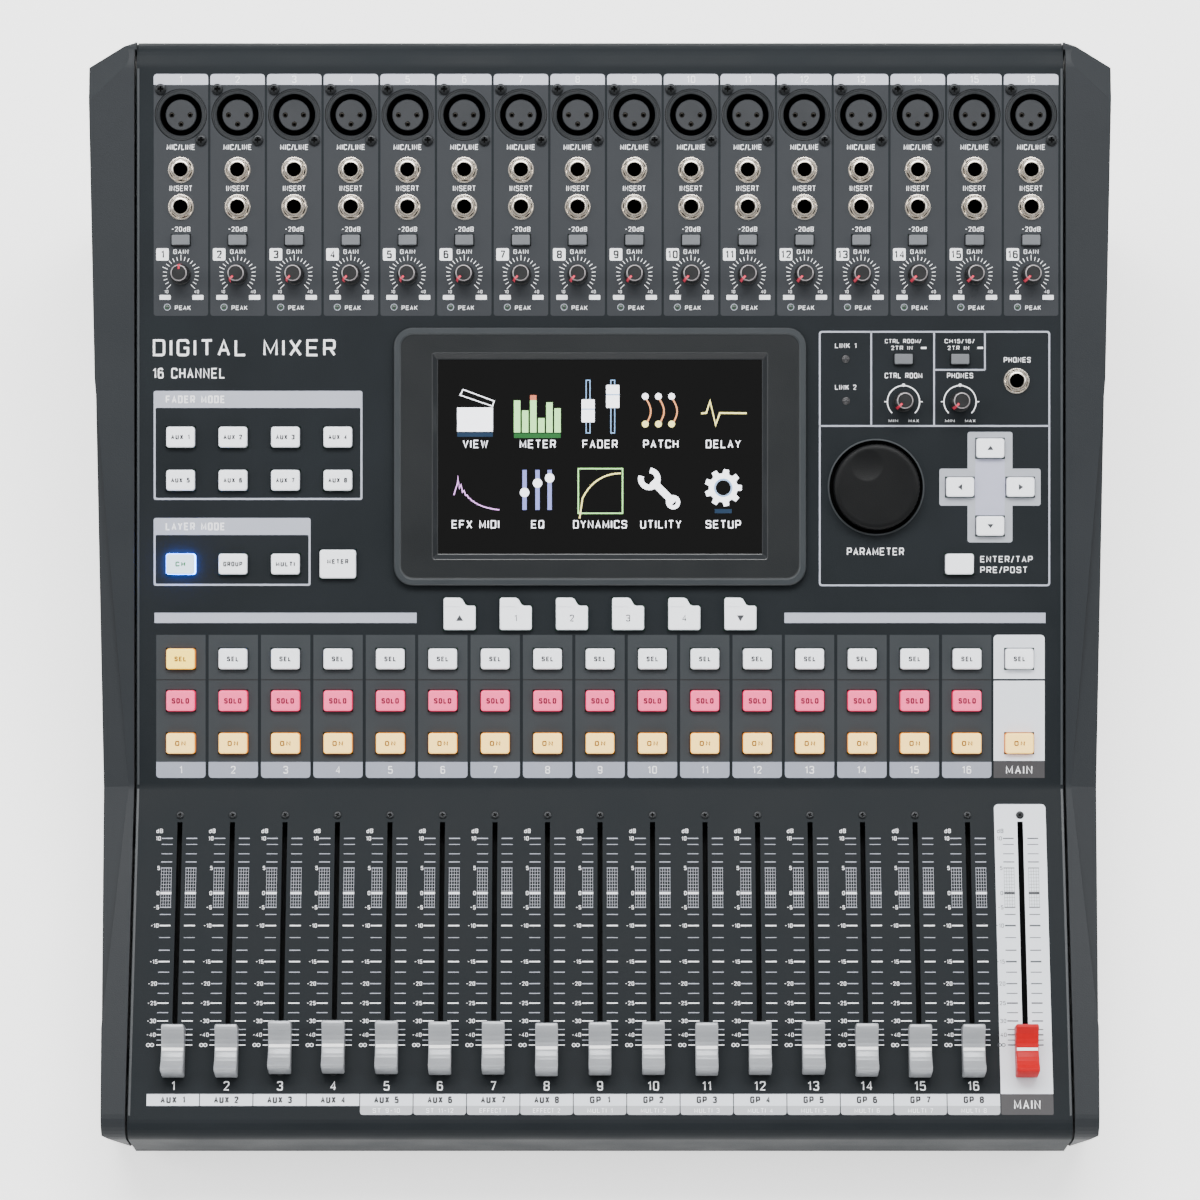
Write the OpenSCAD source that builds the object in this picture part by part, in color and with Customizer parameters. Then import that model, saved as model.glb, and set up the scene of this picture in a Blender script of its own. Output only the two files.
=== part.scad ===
// Sixteen-channel desktop digital mixing console, in millimetres.
// X runs to the right, Y to the rear and Z up. The origin is under the middle of the body, on the table.
// The control surface has two flat decks that meet in a crease: the fader deck in front, nearly level,
// and the steeper main deck behind it. Places on a deck are given as x and as the distance v up the deck
// from the crease, so v is positive on the main deck and negative on the fader deck.

/* [Body] */
// Width of the steel body between the side cheeks
body_w = 436; // [434:0.5:440]
// Thickness of the sheet steel
sheet = 1.5; // [1:0.1:1.6]
// Height of the front edge, where the front face and the fader deck would meet
front_h = 54; // [50:1:60]
// Slope of the fader deck, in degrees
fader_slope = 3; // [2:0.5:6]
// Slope of the main deck, in degrees
main_slope = 19; // [15:0.5:22]
// Length of the fader deck, from the front edge to the crease
fader_deck = 166; // [164:1:170]
// Length of the main deck, from the crease to the level strip at the rear
main_deck = 340; // [339:1:345]
// Length of the level strip behind the main deck
top_strip = 14.7; // [14.5:0.1:20]

/* [Side cheeks] */
// Width of each cheek at the rear
cheek_rear_w = 23; // [18:0.5:28]
// Width of each cheek at the front
cheek_front_w = 12; // [10:0.5:18]
// How far the cheeks stand above the decks at their inner edge
cheek_lip = 2.2; // [1:0.1:4]
// How far the top of a cheek falls from its inner edge to its outer edge
cheek_drop = 7; // [3:0.5:10]

/* [Channels] */
// Spacing of the fader columns
deck_pitch = 24.65; // [24.5:0.05:24.9]
// Spacing of the input strips at the rear
input_pitch = 26.67; // [26.5:0.01:26.7]
// Travel of each fader
fader_travel = 100; // [90:1:100]

/* [Controls] */
// Width of a lit button
button_w = 13.6; // [12:0.1:14]
// Depth of a lit button
button_d = 9.9; // [9:0.1:10.5]
// Height of a lit button above the deck
button_h = 2.8; // [2:0.1:4]
// Diameter of the parameter wheel
wheel_d = 40.6; // [36:0.2:41]
// Height of the parameter wheel above the deck
wheel_h = 7.5; // [5:0.5:9]

/* [Hidden] */
$fn = 48;
channels = 16;

// Clearances: round a moving piece in its opening, and under a head or flange that seats on steel.
slide_gap = 0.3;
seat_gap = 0.2;

// Body heights and depths.
foot_h = 8;
skirt_z = foot_h + sheet + 0.3;
front_undercut = 4;
front_r = 8;
bend_r = 12;
rear_r = 10;
rear_lip = 22;
depth = fader_deck * cos(fader_slope) + main_deck * cos(main_slope) + top_strip;
front_y = -depth / 2;
crease = [front_y + fader_deck * cos(fader_slope), front_h + fader_deck * sin(fader_slope)];
rear_top = crease + main_deck * [cos(main_slope), sin(main_slope)];
rear_y = depth / 2;
wall_x = body_w / 2 - 1;
rear_panel_y = rear_y - 6;
rear_panel_top = rear_top[1] - rear_r - 4;

// Columns: the middle of fader column i, from 0 to 16, and of input strip i, from 0 to 15.
main_column = 16;
function column_x(i) = (i - main_column / 2) * deck_pitch;
function input_x(i) = column_x(0) + i * input_pitch;

// Rows of the main deck, as distances up from the crease.
on_v = 20.5;
solo_v = 40.5;
sel_v = 60.2;
page_v = 81.4;
layer_v = 104.8;
aux_low_v = 144.2;
aux_high_v = 164.5;
gain_v = 241;
pad_v = 257.2;
insert_v = 272.8;
line_v = 290.3;
xlr_v = 316.2;

// The display.
screen_w = 152.4;
screen_d = 91.4;
screen_v = 155.3;
bezel_w = 194;
bezel_d = 121.5;
bezel_h = 3.5;
bezel_r = 9;

// The monitor section, right of the display.
source_v = 201.2;
level_v = 181.2;
room_x = 142.8;
phones_x = 169.4;
phones_jack = [196, 191];
wheel_at = [129.9, 141];
cursor_at = [183.5, 141];
cursor_w = 13.4;
cursor_d = 9.4;
cursor_reach = [14.2, 18.3];
enter_at = [169, 104.8];
meter_w = 17.2;
meter_d = 13.6;
page_pitch = 26.4;
page_count = 6;
push_w = 8.6;
push_d = 5;

// Faders: distances down the fader deck from the crease.
fader_low = 126.5;
fader_high = fader_low - fader_travel;
slot_w = 2.4;
slot_from = 17;
slot_to = 132.5;
fader_screws = [13.7, 135.5];
// How far up its travel each fader stands at rest, from channel 1 to the main fader.
fader_rest = [0, 0, 1.6, 1.8, 1.6, 1.2, 1.4, 0.6, 1, 1.2, 0.8, 1.2, 1.3, 0.4, 0, 0, 0];
cap_w = 10.6;
cap_l = 24;
cap_h = 11.5;
cap_dip = 2.6;
cap_lift = 1;

// Connectors.
xlr_hole_r = 12.4;
xlr_ring_r = 12;
xlr_groove_r = 9.8;
xlr_insert_r = 7.3;
xlr_screw_at = [9.5, 12];
jack_bore_r = 3.2;
jack_bush_r = 4.7;
jack_hole_r = 5.1;
jack_nut_r = 6.2;
jack_h = 3;
jack_depth = 22;

// Rear panel: connector height and places.
rear_xlr_x = [-150, -118];
rear_jack_x = [for (i = [0 : 9]) -84 + 20 * i];
rear_conn_z = 88;
inlet_x = 178;
inlet_z = 52;
switch_x = 178;
switch_z = 88;

// Knobs.
knob_r = 4.0;
knob_skirt_r = 4.8;
knob_h = 12.5;
knob_hole_r = 3.6;
spindle_r = 3;

// Depth of the circuit boards under the decks.
control_board_z = -14;
channel_board_z = -27;
board_t = 1.6;

// ---------- outline helpers ----------

function unit(v) = v / norm(v);

// Points of an arc of radius r that rounds the corner b of the path a, b, c.
function corner_arc(a, b, c, r, steps = 8) =
    let (u = unit(a - b), w = unit(c - b), half = acos(u * w) / 2,
         m = b + unit(u + w) * r / sin(half),
         p = b + u * r / tan(half) - m, q = b + w * r / tan(half) - m,
         from = atan2(p[1], p[0]), turn = (atan2(q[1], q[0]) - from + 540) % 360 - 180)
    [for (k = [0 : steps]) m + r * [cos(from + turn * k / steps), sin(from + turn * k / steps)]];

// A path with its inner corners rounded to the radii given.
function rounded(path, radii) = [
    for (i = [0 : len(path) - 1])
        each (i == 0 || i == len(path) - 1 || radii[i] <= 0) ? [path[i]]
            : corner_arc(path[i - 1], path[i], path[i + 1], radii[i])];

// The same path moved to its right by t.
function to_the_right(a, b, t) = let (d = unit(b - a)) [d[1], -d[0]] * t;
function cross_point(p, d, q, e) =
    let (k = ((q[0] - p[0]) * e[1] - (q[1] - p[1]) * e[0]) / (d[0] * e[1] - d[1] * e[0])) p + k * d;
function moved(path, t) = [
    for (i = [0 : len(path) - 1])
        i == 0 ? path[0] + to_the_right(path[0], path[1], t)
        : i == len(path) - 1 ? path[i] + to_the_right(path[i - 1], path[i], t)
        : cross_point(path[i - 1] + to_the_right(path[i - 1], path[i], t), path[i] - path[i - 1],
                      path[i] + to_the_right(path[i], path[i + 1], t), path[i + 1] - path[i])];
function reversed(list) = [for (i = [len(list) - 1 : -1 : 0]) list[i]];

// The outer surface of the top panel in the Y-Z plane, from the foot of the front face to the rear lip.
panel_path = [
    [front_y + (front_h - skirt_z) * tan(front_undercut), skirt_z],
    [front_y, front_h],
    crease,
    rear_top,
    [rear_y, rear_top[1]],
    [rear_y, rear_top[1] - rear_lip]];
// Radii of that path moved inwards by t: a corner that bulges outwards gets smaller, the crease gets larger.
function panel_radii(t) = [0, front_r - t, bend_r + t, bend_r - t, rear_r - t, 0];
function panel_line(t) = rounded(moved(panel_path, t), panel_radii(t));

// ---------- shape helpers ----------

// Extrudes a Y-Z outline along X, centred.
module across(w) rotate([90, 0, 90]) linear_extrude(w, center = true) children();

// Places on the decks: the local z axis is the deck's outward normal.
module on_main(x, v)
    translate([x, crease[0] + v * cos(main_slope), crease[1] + v * sin(main_slope)])
        rotate([main_slope, 0, 0]) children();
module on_fader(x, v)
    translate([x, crease[0] + v * cos(fader_slope), crease[1] + v * sin(fader_slope)])
        rotate([fader_slope, 0, 0]) children();
// Places on the rear panel: the local z axis points out of the rear, and local y is up.
module on_rear(x, z) translate([x, rear_panel_y, z]) rotate([90, 0, 180]) children();

module block(w, d, z0, z1) translate([-w / 2, -d / 2, z0]) cube([w, d, z1 - z0]);
module disc(r, z0, z1) translate([0, 0, z0]) cylinder(r = r, h = z1 - z0);
module rounded_rect(w, d, r) {
    square([w - 2 * r, d], center = true);
    square([w, d - 2 * r], center = true);
    for (sx = [-1, 1], sy = [-1, 1]) translate([sx * (w / 2 - r), sy * (d / 2 - r)]) circle(r);
}
module rounded_block(w, d, r, z0, z1)
    translate([0, 0, z0]) linear_extrude(z1 - z0) rounded_rect(w, d, r);

// The outline of a page button, a folder with a tab at its upper left, grown by g on every side.
page_w = 15.2;
page_d = 15.4;
page_tab = [8.2, 3.8];
function page_outline(g) = [
    [-page_w / 2 - g, -page_d / 2 - g],
    [page_w / 2 + g, -page_d / 2 - g],
    [page_w / 2 + g, page_d / 2 - page_tab[1] + g],
    [-page_w / 2 + page_tab[0] + 3.4 + g / 2, page_d / 2 - page_tab[1] + g],
    [-page_w / 2 + page_tab[0] + g / 2, page_d / 2 + g],
    [-page_w / 2 - g, page_d / 2 + g]];

// ---------- where repeated pieces stand ----------

module at_columns(v, last = channels - 1) for (i = [0 : last]) on_main(column_x(i), v) children();
module at_inputs(v) for (i = [0 : channels - 1]) on_main(input_x(i), v) children();
module at_aux_buttons()
    for (i = [0 : 3], v = [aux_low_v, aux_high_v]) on_main(column_x(i), v) children();
module at_layer_buttons() for (i = [0 : 2]) on_main(column_x(i), layer_v) children();
module at_meter_button() on_main(column_x(3), layer_v) children();
module at_page_buttons()
    for (i = [0 : page_count - 1]) on_main((i - (page_count - 1) / 2) * page_pitch, page_v) children();
module at_cursor_buttons()
    for (d = [[1, 0], [-1, 0], [0, 1], [0, -1]])
        on_main(cursor_at[0] + d[0] * cursor_reach[0], cursor_at[1] + d[1] * cursor_reach[1]) children();
module at_enter_button() on_main(enter_at[0], enter_at[1]) children();
module at_push_switches() {
    at_inputs(pad_v) children();
    for (x = [room_x, phones_x]) on_main(x, source_v) children();
}
module at_knobs() {
    at_inputs(gain_v) children();
    for (x = [room_x, phones_x]) on_main(x, level_v) children();
}
module at_deck_jacks() {
    at_inputs(line_v) children();
    at_inputs(insert_v) children();
    on_main(phones_jack[0], phones_jack[1]) children();
}
module at_faders() for (i = [0 : main_column]) on_fader(column_x(i), 0) children();
module at_xlr_screws() for (s = [-1, 1]) translate([-s * xlr_screw_at[0], s * xlr_screw_at[1], 0]) children();

// ---------- openings in the decks ----------

module deck_openings() {
    cut0 = -sheet - 3;
    cut1 = 3;
    at_inputs(xlr_v) {
        disc(xlr_hole_r, cut0, cut1);
        at_xlr_screws() disc(1.6, cut0, cut1);
    }
    at_deck_jacks() disc(jack_hole_r, cut0, cut1);
    at_push_switches() block(push_w + 2 * slide_gap, push_d + 2 * slide_gap, cut0, cut1);
    at_knobs() disc(knob_hole_r, cut0, cut1);
    at_inputs(gain_v) translate([-6.4, -15.3, 0]) disc(1.2, cut0, cut1);
    at_columns(sel_v, main_column) button_opening(cut0, cut1);
    at_columns(solo_v) button_opening(cut0, cut1);
    at_columns(on_v, main_column) button_opening(cut0, cut1);
    at_aux_buttons() button_opening(cut0, cut1);
    at_layer_buttons() button_opening(cut0, cut1);
    at_meter_button() block(meter_w + 2 * slide_gap, meter_d + 2 * slide_gap, cut0, cut1);
    at_page_buttons() translate([0, 0, cut0]) linear_extrude(cut1 - cut0) polygon(page_outline(slide_gap));
    at_cursor_buttons() block(cursor_w + 2 * slide_gap, cursor_d + 2 * slide_gap, cut0, cut1);
    at_enter_button() button_opening(cut0, cut1);
    on_main(0, screen_v) block(screen_w + 5, screen_d + 5, cut0, cut1);
    on_main(wheel_at[0], wheel_at[1]) disc(wheel_d / 2 + 2, cut0, cut1);
    at_faders() {
        translate([0, -(slot_from + slot_to) / 2, 0]) block(slot_w, slot_to - slot_from, cut0, cut1);
        for (d = fader_screws) translate([0, -d, 0]) disc(1.2, cut0, cut1);
    }
}
module button_opening(z0, z1) block(button_w + 2 * slide_gap, button_d + 2 * slide_gap, z0, z1);

// ---------- casing ----------

// One bent sheet: front face, fader deck, main deck, level strip and rear lip.
module top_panel() color("#3a3e42")
    difference() {
        across(body_w) polygon(concat(panel_line(0), reversed(panel_line(sheet))));
        deck_openings();
    }

// A pan of the same steel: floor with vents, and two side walls that follow the underside of the panel.
module bottom_chassis() color("#2a2c2e") {
    under = panel_line(sheet + 0.4);
    floor_front = under[0][0] + 0.4;
    floor_rear = rear_panel_y - sheet - 0.4;
    difference() {
        translate([-wall_x, floor_front, foot_h]) cube([2 * wall_x, floor_rear - floor_front, sheet]);
        for (i = [-6 : 6], y = [-40, 60])
            translate([i * 14 - 1.5, y, foot_h - 1]) cube([3, 40, sheet + 2]);
    }
    for (s = [-1, 1])
        difference() {
            translate([s * (wall_x - sheet / 2), 0, 0]) across(sheet)
                polygon([for (p = concat([[floor_front, foot_h]], under, [[floor_rear, foot_h]]))
                         [min(p[0], floor_rear), max(p[1], foot_h)]]);
            for (p = cheek_bosses()) translate([s * wall_x, p[0], p[1]]) rotate([0, 90, 0])
                cylinder(r = 1.7, h = 12, center = true);
        }
}

// The upright connector panel, with its holes and a field of vent slots.
module rear_panel() color("#303336")
    difference() {
        translate([-wall_x + sheet + 0.4, rear_panel_y - sheet, foot_h + sheet + 0.4])
            cube([2 * (wall_x - sheet - 0.4), sheet, rear_panel_top - foot_h - sheet - 0.4]);
        for (x = rear_xlr_x) on_rear(x, rear_conn_z) {
            disc(xlr_hole_r, -4, 3);
            at_xlr_screws() disc(1.6, -4, 3);
        }
        for (x = rear_jack_x) on_rear(x, rear_conn_z) disc(jack_hole_r, -4, 3);
        on_rear(inlet_x, inlet_z) block(28, 20.5, -4, 3);
        on_rear(switch_x, switch_z) block(20, 14, -4, 3);
        for (i = [0 : 14]) on_rear(-84 + 12.5 * i, 52) block(4, 26, -4, 3);
    }

// Places of the bosses on a cheek's inner face, as [y, z].
function cheek_bosses() = [[front_y + 40, 34], [front_y + 150, 34], [rear_y - 150, 60], [rear_y - 40, 110]];

// A cheek follows the decks a little above them. It leans in towards the front, is mitred at its
// ends, and its top falls outwards along both decks and along the level strip.
cheek_x = body_w / 2 + 1;
module cheek_profile() {
    line = moved(panel_path, -cheek_lip);
    back = rear_y;
    nose = line[0][0] + cheek_lip;
    bottom = foot_h + 1;
    polygon(concat(
        [[nose, bottom]],
        corner_arc([nose, bottom], line[1] + [cheek_lip, 0], line[2], front_r + cheek_lip),
        corner_arc(line[1], line[2], line[3], bend_r),
        corner_arc(line[2], line[3], [back, line[3][1]], bend_r + 4),
        corner_arc(line[3], [back, line[3][1]], [back, bottom], rear_r),
        [[back, bottom]]));
}
// Everything above a plane that starts at the cheek's inner edge and falls outwards.
module above(y, z, slope)
    translate([cheek_x + 2.5, y, z]) rotate([slope, 0, 0])
        rotate([0, atan(cheek_drop / cheek_rear_w), 0]) translate([0, -600, 0]) cube([60, 1200, 120]);
module cheek() {
    line = moved(panel_path, -cheek_lip);
    lean = atan((cheek_rear_w - cheek_front_w) / depth);
    difference() {
        translate([cheek_x + 20, 0, 0]) across(40) cheek_profile();
        // outer side
        translate([body_w / 2 + (cheek_rear_w + cheek_front_w) / 2, 0, -10]) rotate([0, 0, -lean])
            translate([0, -400, 0]) cube([80, 800, 300]);
        // mitres at the two ends, the front one undercut
        translate([cheek_x, front_y + 6.9, foot_h + 1]) rotate([0, 0, 31]) rotate([14, 0, 0])
            translate([-60, -80, -60]) cube([160, 80, 200]);
        translate([cheek_x, rear_y - 3.5, -10]) rotate([0, 0, -27.6])
            translate([-20, 0, 0]) cube([100, 60, 300]);
        // falling tops
        intersection() {
            above(line[2][0], line[2][1], fader_slope);
            above(line[2][0], line[2][1], main_slope);
        }
        above(line[3][0], line[3][1], 0);
        // the hollow on the inner side of the moulding
        translate([body_w / 2 + 3.5, 0, 0]) across(7) cheek_hollow();
    }
    // a rib at the rear closes the gap beside the sheet metal
    intersection() {
        translate([body_w / 2 + 0.75, 0, 0]) across(1.1) cheek_profile();
        translate([0, rear_y - 8, 0]) cube([400, 5, 300]);
    }
    for (p = cheek_bosses()) translate([wall_x + 0.1, p[0], p[1]]) rotate([0, 90, 0])
        difference() {
            cylinder(r = 6, h = 8.5);
            translate([0, 0, -1]) cylinder(r = 1.5, h = 8);
        }
}
module cheek_hollow() {
    under = moved(panel_path, 12);
    back = rear_y - 30;
    polygon([[front_y + 14, foot_h + 6], [front_y + 14, under[1][1]], under[2],
             [back, under[3][1] - (under[3][0] - back) * tan(main_slope)], [back, foot_h + 6]]);
}
module right_cheek() color("#33363a") cheek();
module left_cheek() color("#33363a") mirror([1, 0, 0]) cheek();

module rubber_feet() color("#151515")
    for (x = [-185, 185], y = [-205, 200]) translate([x, y, 0])
        difference() {
            cylinder(r1 = 11, r2 = 12.5, h = foot_h);
            translate([0, 0, -1]) cylinder(r = 4, h = 4);
        }

// ---------- display ----------

module display_bezel() color("#404448")
    on_main(0, screen_v)
        difference() {
            rounded_block(bezel_w, bezel_d, bezel_r, seat_gap, bezel_h + seat_gap);
            block(screen_w, screen_d, -1, bezel_h + 1);
        }
module display_panel() color("#0b0d10")
    on_main(0, screen_v) {
        block(screen_w + 4, screen_d + 4, -6, 0);
        block(screen_w + 12, screen_d + 12, -9, -6);
    }

// ---------- connectors ----------

// A three-pole socket under a hole in the steel: shell with flange, and its insert as a loose piece.
module xlr_shell() {
    difference() {
        union() {
            disc(xlr_ring_r, -20, 0);
            block(24.8, 30.4, -sheet - seat_gap - 2, -sheet - seat_gap);
        }
        disc(xlr_groove_r, -16, 1);
        at_xlr_screws() disc(1.3, -sheet - seat_gap - 3, 0);
    }
}
module xlr_insert()
    difference() {
        disc(xlr_insert_r, -15.9, -0.6);
        for (p = [[-4.3, 0], [4.3, 0], [0, -4.3]]) translate(p) disc(1.2, -10, 0);
    }
module xlr_sockets() color("#1c1e20") {
    at_inputs(xlr_v) {
        xlr_shell();
        xlr_insert();
    }
    for (x = rear_xlr_x) on_rear(x, rear_conn_z) {
        xlr_shell();
        for (p = [[-4.3, 0], [4.3, 0], [0, -4.3]]) translate(p) disc(1.2, -15.9, -3);
    }
}

// A quarter-inch socket: body, bushing and nut in one piece, bored for the plug.
module jack()
    difference() {
        union() {
            block(15, 15.6, -jack_depth, -sheet - seat_gap);
            disc(jack_bush_r, -sheet - 1, jack_h);
            disc(jack_nut_r, seat_gap, 2);
        }
        disc(jack_bore_r, -jack_depth + 2, jack_h + 1);
    }
module jack_sockets() color("#b8b2a6") {
    at_deck_jacks() jack();
    for (x = rear_jack_x) on_rear(x, rear_conn_z) jack();
}

// The inlet for a kettle-style cord set, with its recess and three blades, and the rocker's frame.
module mains_inlet() color("#141414") {
    on_rear(switch_x, switch_z) difference() {
        union() {
            block(19.2, 13.4, -11, seat_gap);
            rounded_block(24, 18, 2, seat_gap, 1.8);
        }
        block(16.2, 11.6, -9, 3);
    }
    on_rear(inlet_x, inlet_z) {
        difference() {
            union() {
                block(27.2, 19.7, -22, seat_gap);
                rounded_block(50, 25, 5, seat_gap, 2.2);
            }
            block(24, 16.5, -17, 3);
            for (s = [-1, 1]) translate([s * 20, 0, 0]) disc(1.7, -1, 3);
        }
        for (p = [[-7, -2], [7, -2], [0, 2]]) translate(p) block(2, 4, -17.1, -4);
    }
}

// The power rocker, tilted to one side, in the frame that clips into the rear panel.
rocker_pivot_z = -3;
rocker_tilt = 8;
module power_switch() color("#191919")
    on_rear(switch_x, switch_z) translate([0, 0, rocker_pivot_z]) rotate([rocker_tilt, 0, 0])
    {
        across(15.4) polygon([[-4.4, -0.6], [4.4, -0.6], [4.7, 4.6], [0, 3.6], [-4.7, 4.6]]);
        rotate([0, 90, 0]) cylinder(r = 3.4, h = 15.4, center = true);
    }

// ---------- faders ----------

// One motor fader unit under each slot: a channel with a lid slot, and its motor.
module fader_track() {
    mid = -(slot_from + slot_to) / 2;
    length = slot_to - slot_from;
    top = -sheet - seat_gap;
    difference() {
        union() {
            translate([0, mid, 0]) block(12, length + 12, top - 11, top);
            translate([0, -slot_from - 12, top - 17.8]) rotate([90, 0, 0]) cylinder(r = 7, h = 26);
        }
        translate([0, mid, 0]) block(8, length, top - 9.5, top - 1.2);
        translate([0, mid, 0]) block(slot_w, length, top - 3, top + 1);
        for (d = fader_screws) translate([0, -d, 0]) disc(1.2, top - 5, top + 1);
    }
}
module fader_tracks() color("#8b8d8f") at_faders() fader_track();

// The side outline of a fader cap: ends that lean in, and a top that dips in an arc to its middle.
function cap_outline() =
    let (half = cap_l / 2, top_half = half - 0.9, r = (top_half * top_half + cap_dip * cap_dip) / (2 * cap_dip),
         sweep = asin(top_half / r))
    concat([[-half, cap_lift], [half, cap_lift], [half, cap_lift + 3]],
           [for (k = [0 : 12]) let (a = sweep * (1 - k / 6))
            [r * sin(a), cap_lift + cap_h - cap_dip + r - r * cos(a)]],
           [[-half, cap_lift + 3]]);
module fader(i)
    on_fader(column_x(i), -fader_low + fader_rest[i]) {
        across(cap_w) polygon(cap_outline());
        block(1.2, 5, -9, cap_lift + 0.5);
        block(6.4, 9, -10.2, -8.9);
    }
module channel_fader(i) color("#b9bcc0") fader(i);
module main_fader() color("#d81f1f") fader(main_column);

// ---------- knobs and wheel ----------

module knob() {
    disc(knob_skirt_r, 0.9, 2.2);
    translate([0, 0, 2.2]) cylinder(r1 = knob_skirt_r, r2 = knob_r + 0.3, h = 1.4);
    translate([0, 0, 3.6]) cylinder(r1 = knob_r + 0.3, r2 = knob_r, h = knob_h - 3.6);
    disc(spindle_r, -7, 0.9);
}
module gain_knob(i) color("#25272a") on_main(input_x(i), gain_v) knob();
module control_room_knob() color("#25272a") on_main(room_x, level_v) knob();
module phones_knob() color("#25272a") on_main(phones_x, level_v) knob();

// The wheel has a finger dimple towards its upper left.
module parameter_wheel() color("#1d1f22")
    on_main(wheel_at[0], wheel_at[1]) {
        difference() {
            union() {
                disc(wheel_d / 2, -4, wheel_h - 1);
                translate([0, 0, wheel_h - 1]) cylinder(r1 = wheel_d / 2, r2 = wheel_d / 2 - 1, h = 1);
            }
            translate([-4.8, 10.1, wheel_h + 8]) sphere(r = 10.6);
        }
        disc(spindle_r, -9, -4);
    }

// ---------- buttons ----------

// A cap through the deck, with a flange below that keeps it in.
module button(w, d, h) {
    rounded_block(w, d, 1, -sheet - 2.6, h);
    block(w + 2.4, d + 2, -sheet - 3.8, -sheet - 2.6);
}
module lit_button() button(button_w, button_d, button_h);
module sel_buttons() color("#e9eef2") at_columns(sel_v, main_column) lit_button();
module solo_buttons() color("#ff6f9a") at_columns(solo_v) lit_button();
module on_buttons() color("#ffdf9a") at_columns(on_v, main_column) lit_button();
module mode_buttons() color("#e9eef2") {
    at_aux_buttons() lit_button();
    at_layer_buttons() lit_button();
    at_meter_button() button(meter_w, meter_d, button_h);
}
module page_buttons() color("#e9eef2") at_page_buttons() {
    translate([0, 0, -sheet - 2.6]) linear_extrude(button_h + sheet + 2.6) polygon(page_outline(0));
    block(page_w + 2.4, page_d + 2, -sheet - 3.8, -sheet - 2.6);
}
module cursor_buttons() color("#e9eef2") at_cursor_buttons() button(cursor_w, cursor_d, button_h);
module enter_button() color("#e9eef2") at_enter_button() lit_button();
module push_switches() color("#9b9ea2") at_push_switches() {
    block(push_w, push_d, -sheet - 4, 2.4);
    block(3, 3, -11, -sheet - 4);
}

// ---------- inside ----------

// Three boards: controls under the main deck, inputs under the rear strips and the fader board.
module circuit_boards() color("#1f5a35") {
    difference() {
        on_main(0, 0) translate([-205, 10, control_board_z - board_t]) cube([410, 205, board_t]);
        on_main(0, screen_v) block(screen_w + 20, screen_d + 20, -20, 0);
        on_main(phones_jack[0], phones_jack[1]) block(16.6, 17.2, -20, 0);
    }
    on_main(0, 0) translate([-212, 224, channel_board_z - board_t]) cube([424, 100, board_t]);
    on_fader(0, 0) translate([-205, -140, -34]) cube([410, 126, board_t]);
    // switch bodies under the lit buttons, and the level controls under the knobs
    at_columns(sel_v, main_column) switch_body();
    at_columns(solo_v) switch_body();
    at_columns(on_v, main_column) switch_body();
    at_aux_buttons() switch_body();
    at_page_buttons() switch_body();
    at_meter_button() switch_body();
    at_layer_buttons() switch_body();
    at_cursor_buttons() switch_body();
    at_enter_button() switch_body();
    for (x = [room_x, phones_x]) on_main(x, level_v) block(10, 11, control_board_z - 0.1, -8);
    on_main(wheel_at[0], wheel_at[1]) block(12, 12, control_board_z - 0.1, -10);
    at_inputs(gain_v) block(10, 11, channel_board_z - 0.1, -8);
    at_inputs(gain_v) translate([-6.4, -15.3, 0]) disc(1, channel_board_z - 0.1, 0.3);
}
module switch_body() block(6, 6, control_board_z - 0.1, -sheet - 6.4);

module power_supply() color("#9a9c9e")
    translate([100, 120, foot_h + sheet + 4]) cube([95, 100, 34]);

module screws() color("#1a1a1a") {
    at_inputs(xlr_v) at_xlr_screws() screw(2.8, 1.4, 7);
    for (x = rear_xlr_x) on_rear(x, rear_conn_z) at_xlr_screws() screw(2.8, 1.4, 7);
    at_faders() for (d = fader_screws) translate([0, -d, 0]) screw(1.9, 0.5, 4, 0.9);
    for (s = [-1, 1], p = cheek_bosses())
        translate([s * (wall_x - sheet - seat_gap), p[0], p[1]]) rotate([0, -s * 90, 0])
            translate([0, 0, -seat_gap]) screw(2.8, 1.4, 8, 1.2);
}
// A pan-head screw whose head sits on the surface at z = 0.
module screw(head_r, head_h, length, shank_r = 1.1) {
    disc(head_r, seat_gap, seat_gap + head_h);
    disc(shank_r, -length, seat_gap);
}

// ---------- assembly ----------

top_panel();
bottom_chassis();
rear_panel();
left_cheek();
right_cheek();
display_bezel();
display_panel();
xlr_sockets();
jack_sockets();
fader_tracks();
circuit_boards();
power_supply();
rubber_feet();
screws();
mains_inlet();
power_switch();
main_fader();
control_room_knob();
phones_knob();
parameter_wheel();
sel_buttons();
solo_buttons();
on_buttons();
push_switches();
mode_buttons();
page_buttons();
cursor_buttons();
enter_button();
for (i = [1 : channels]) channel_fader(i - 1);
for (i = [1 : channels]) gain_knob(i - 1);
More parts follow.
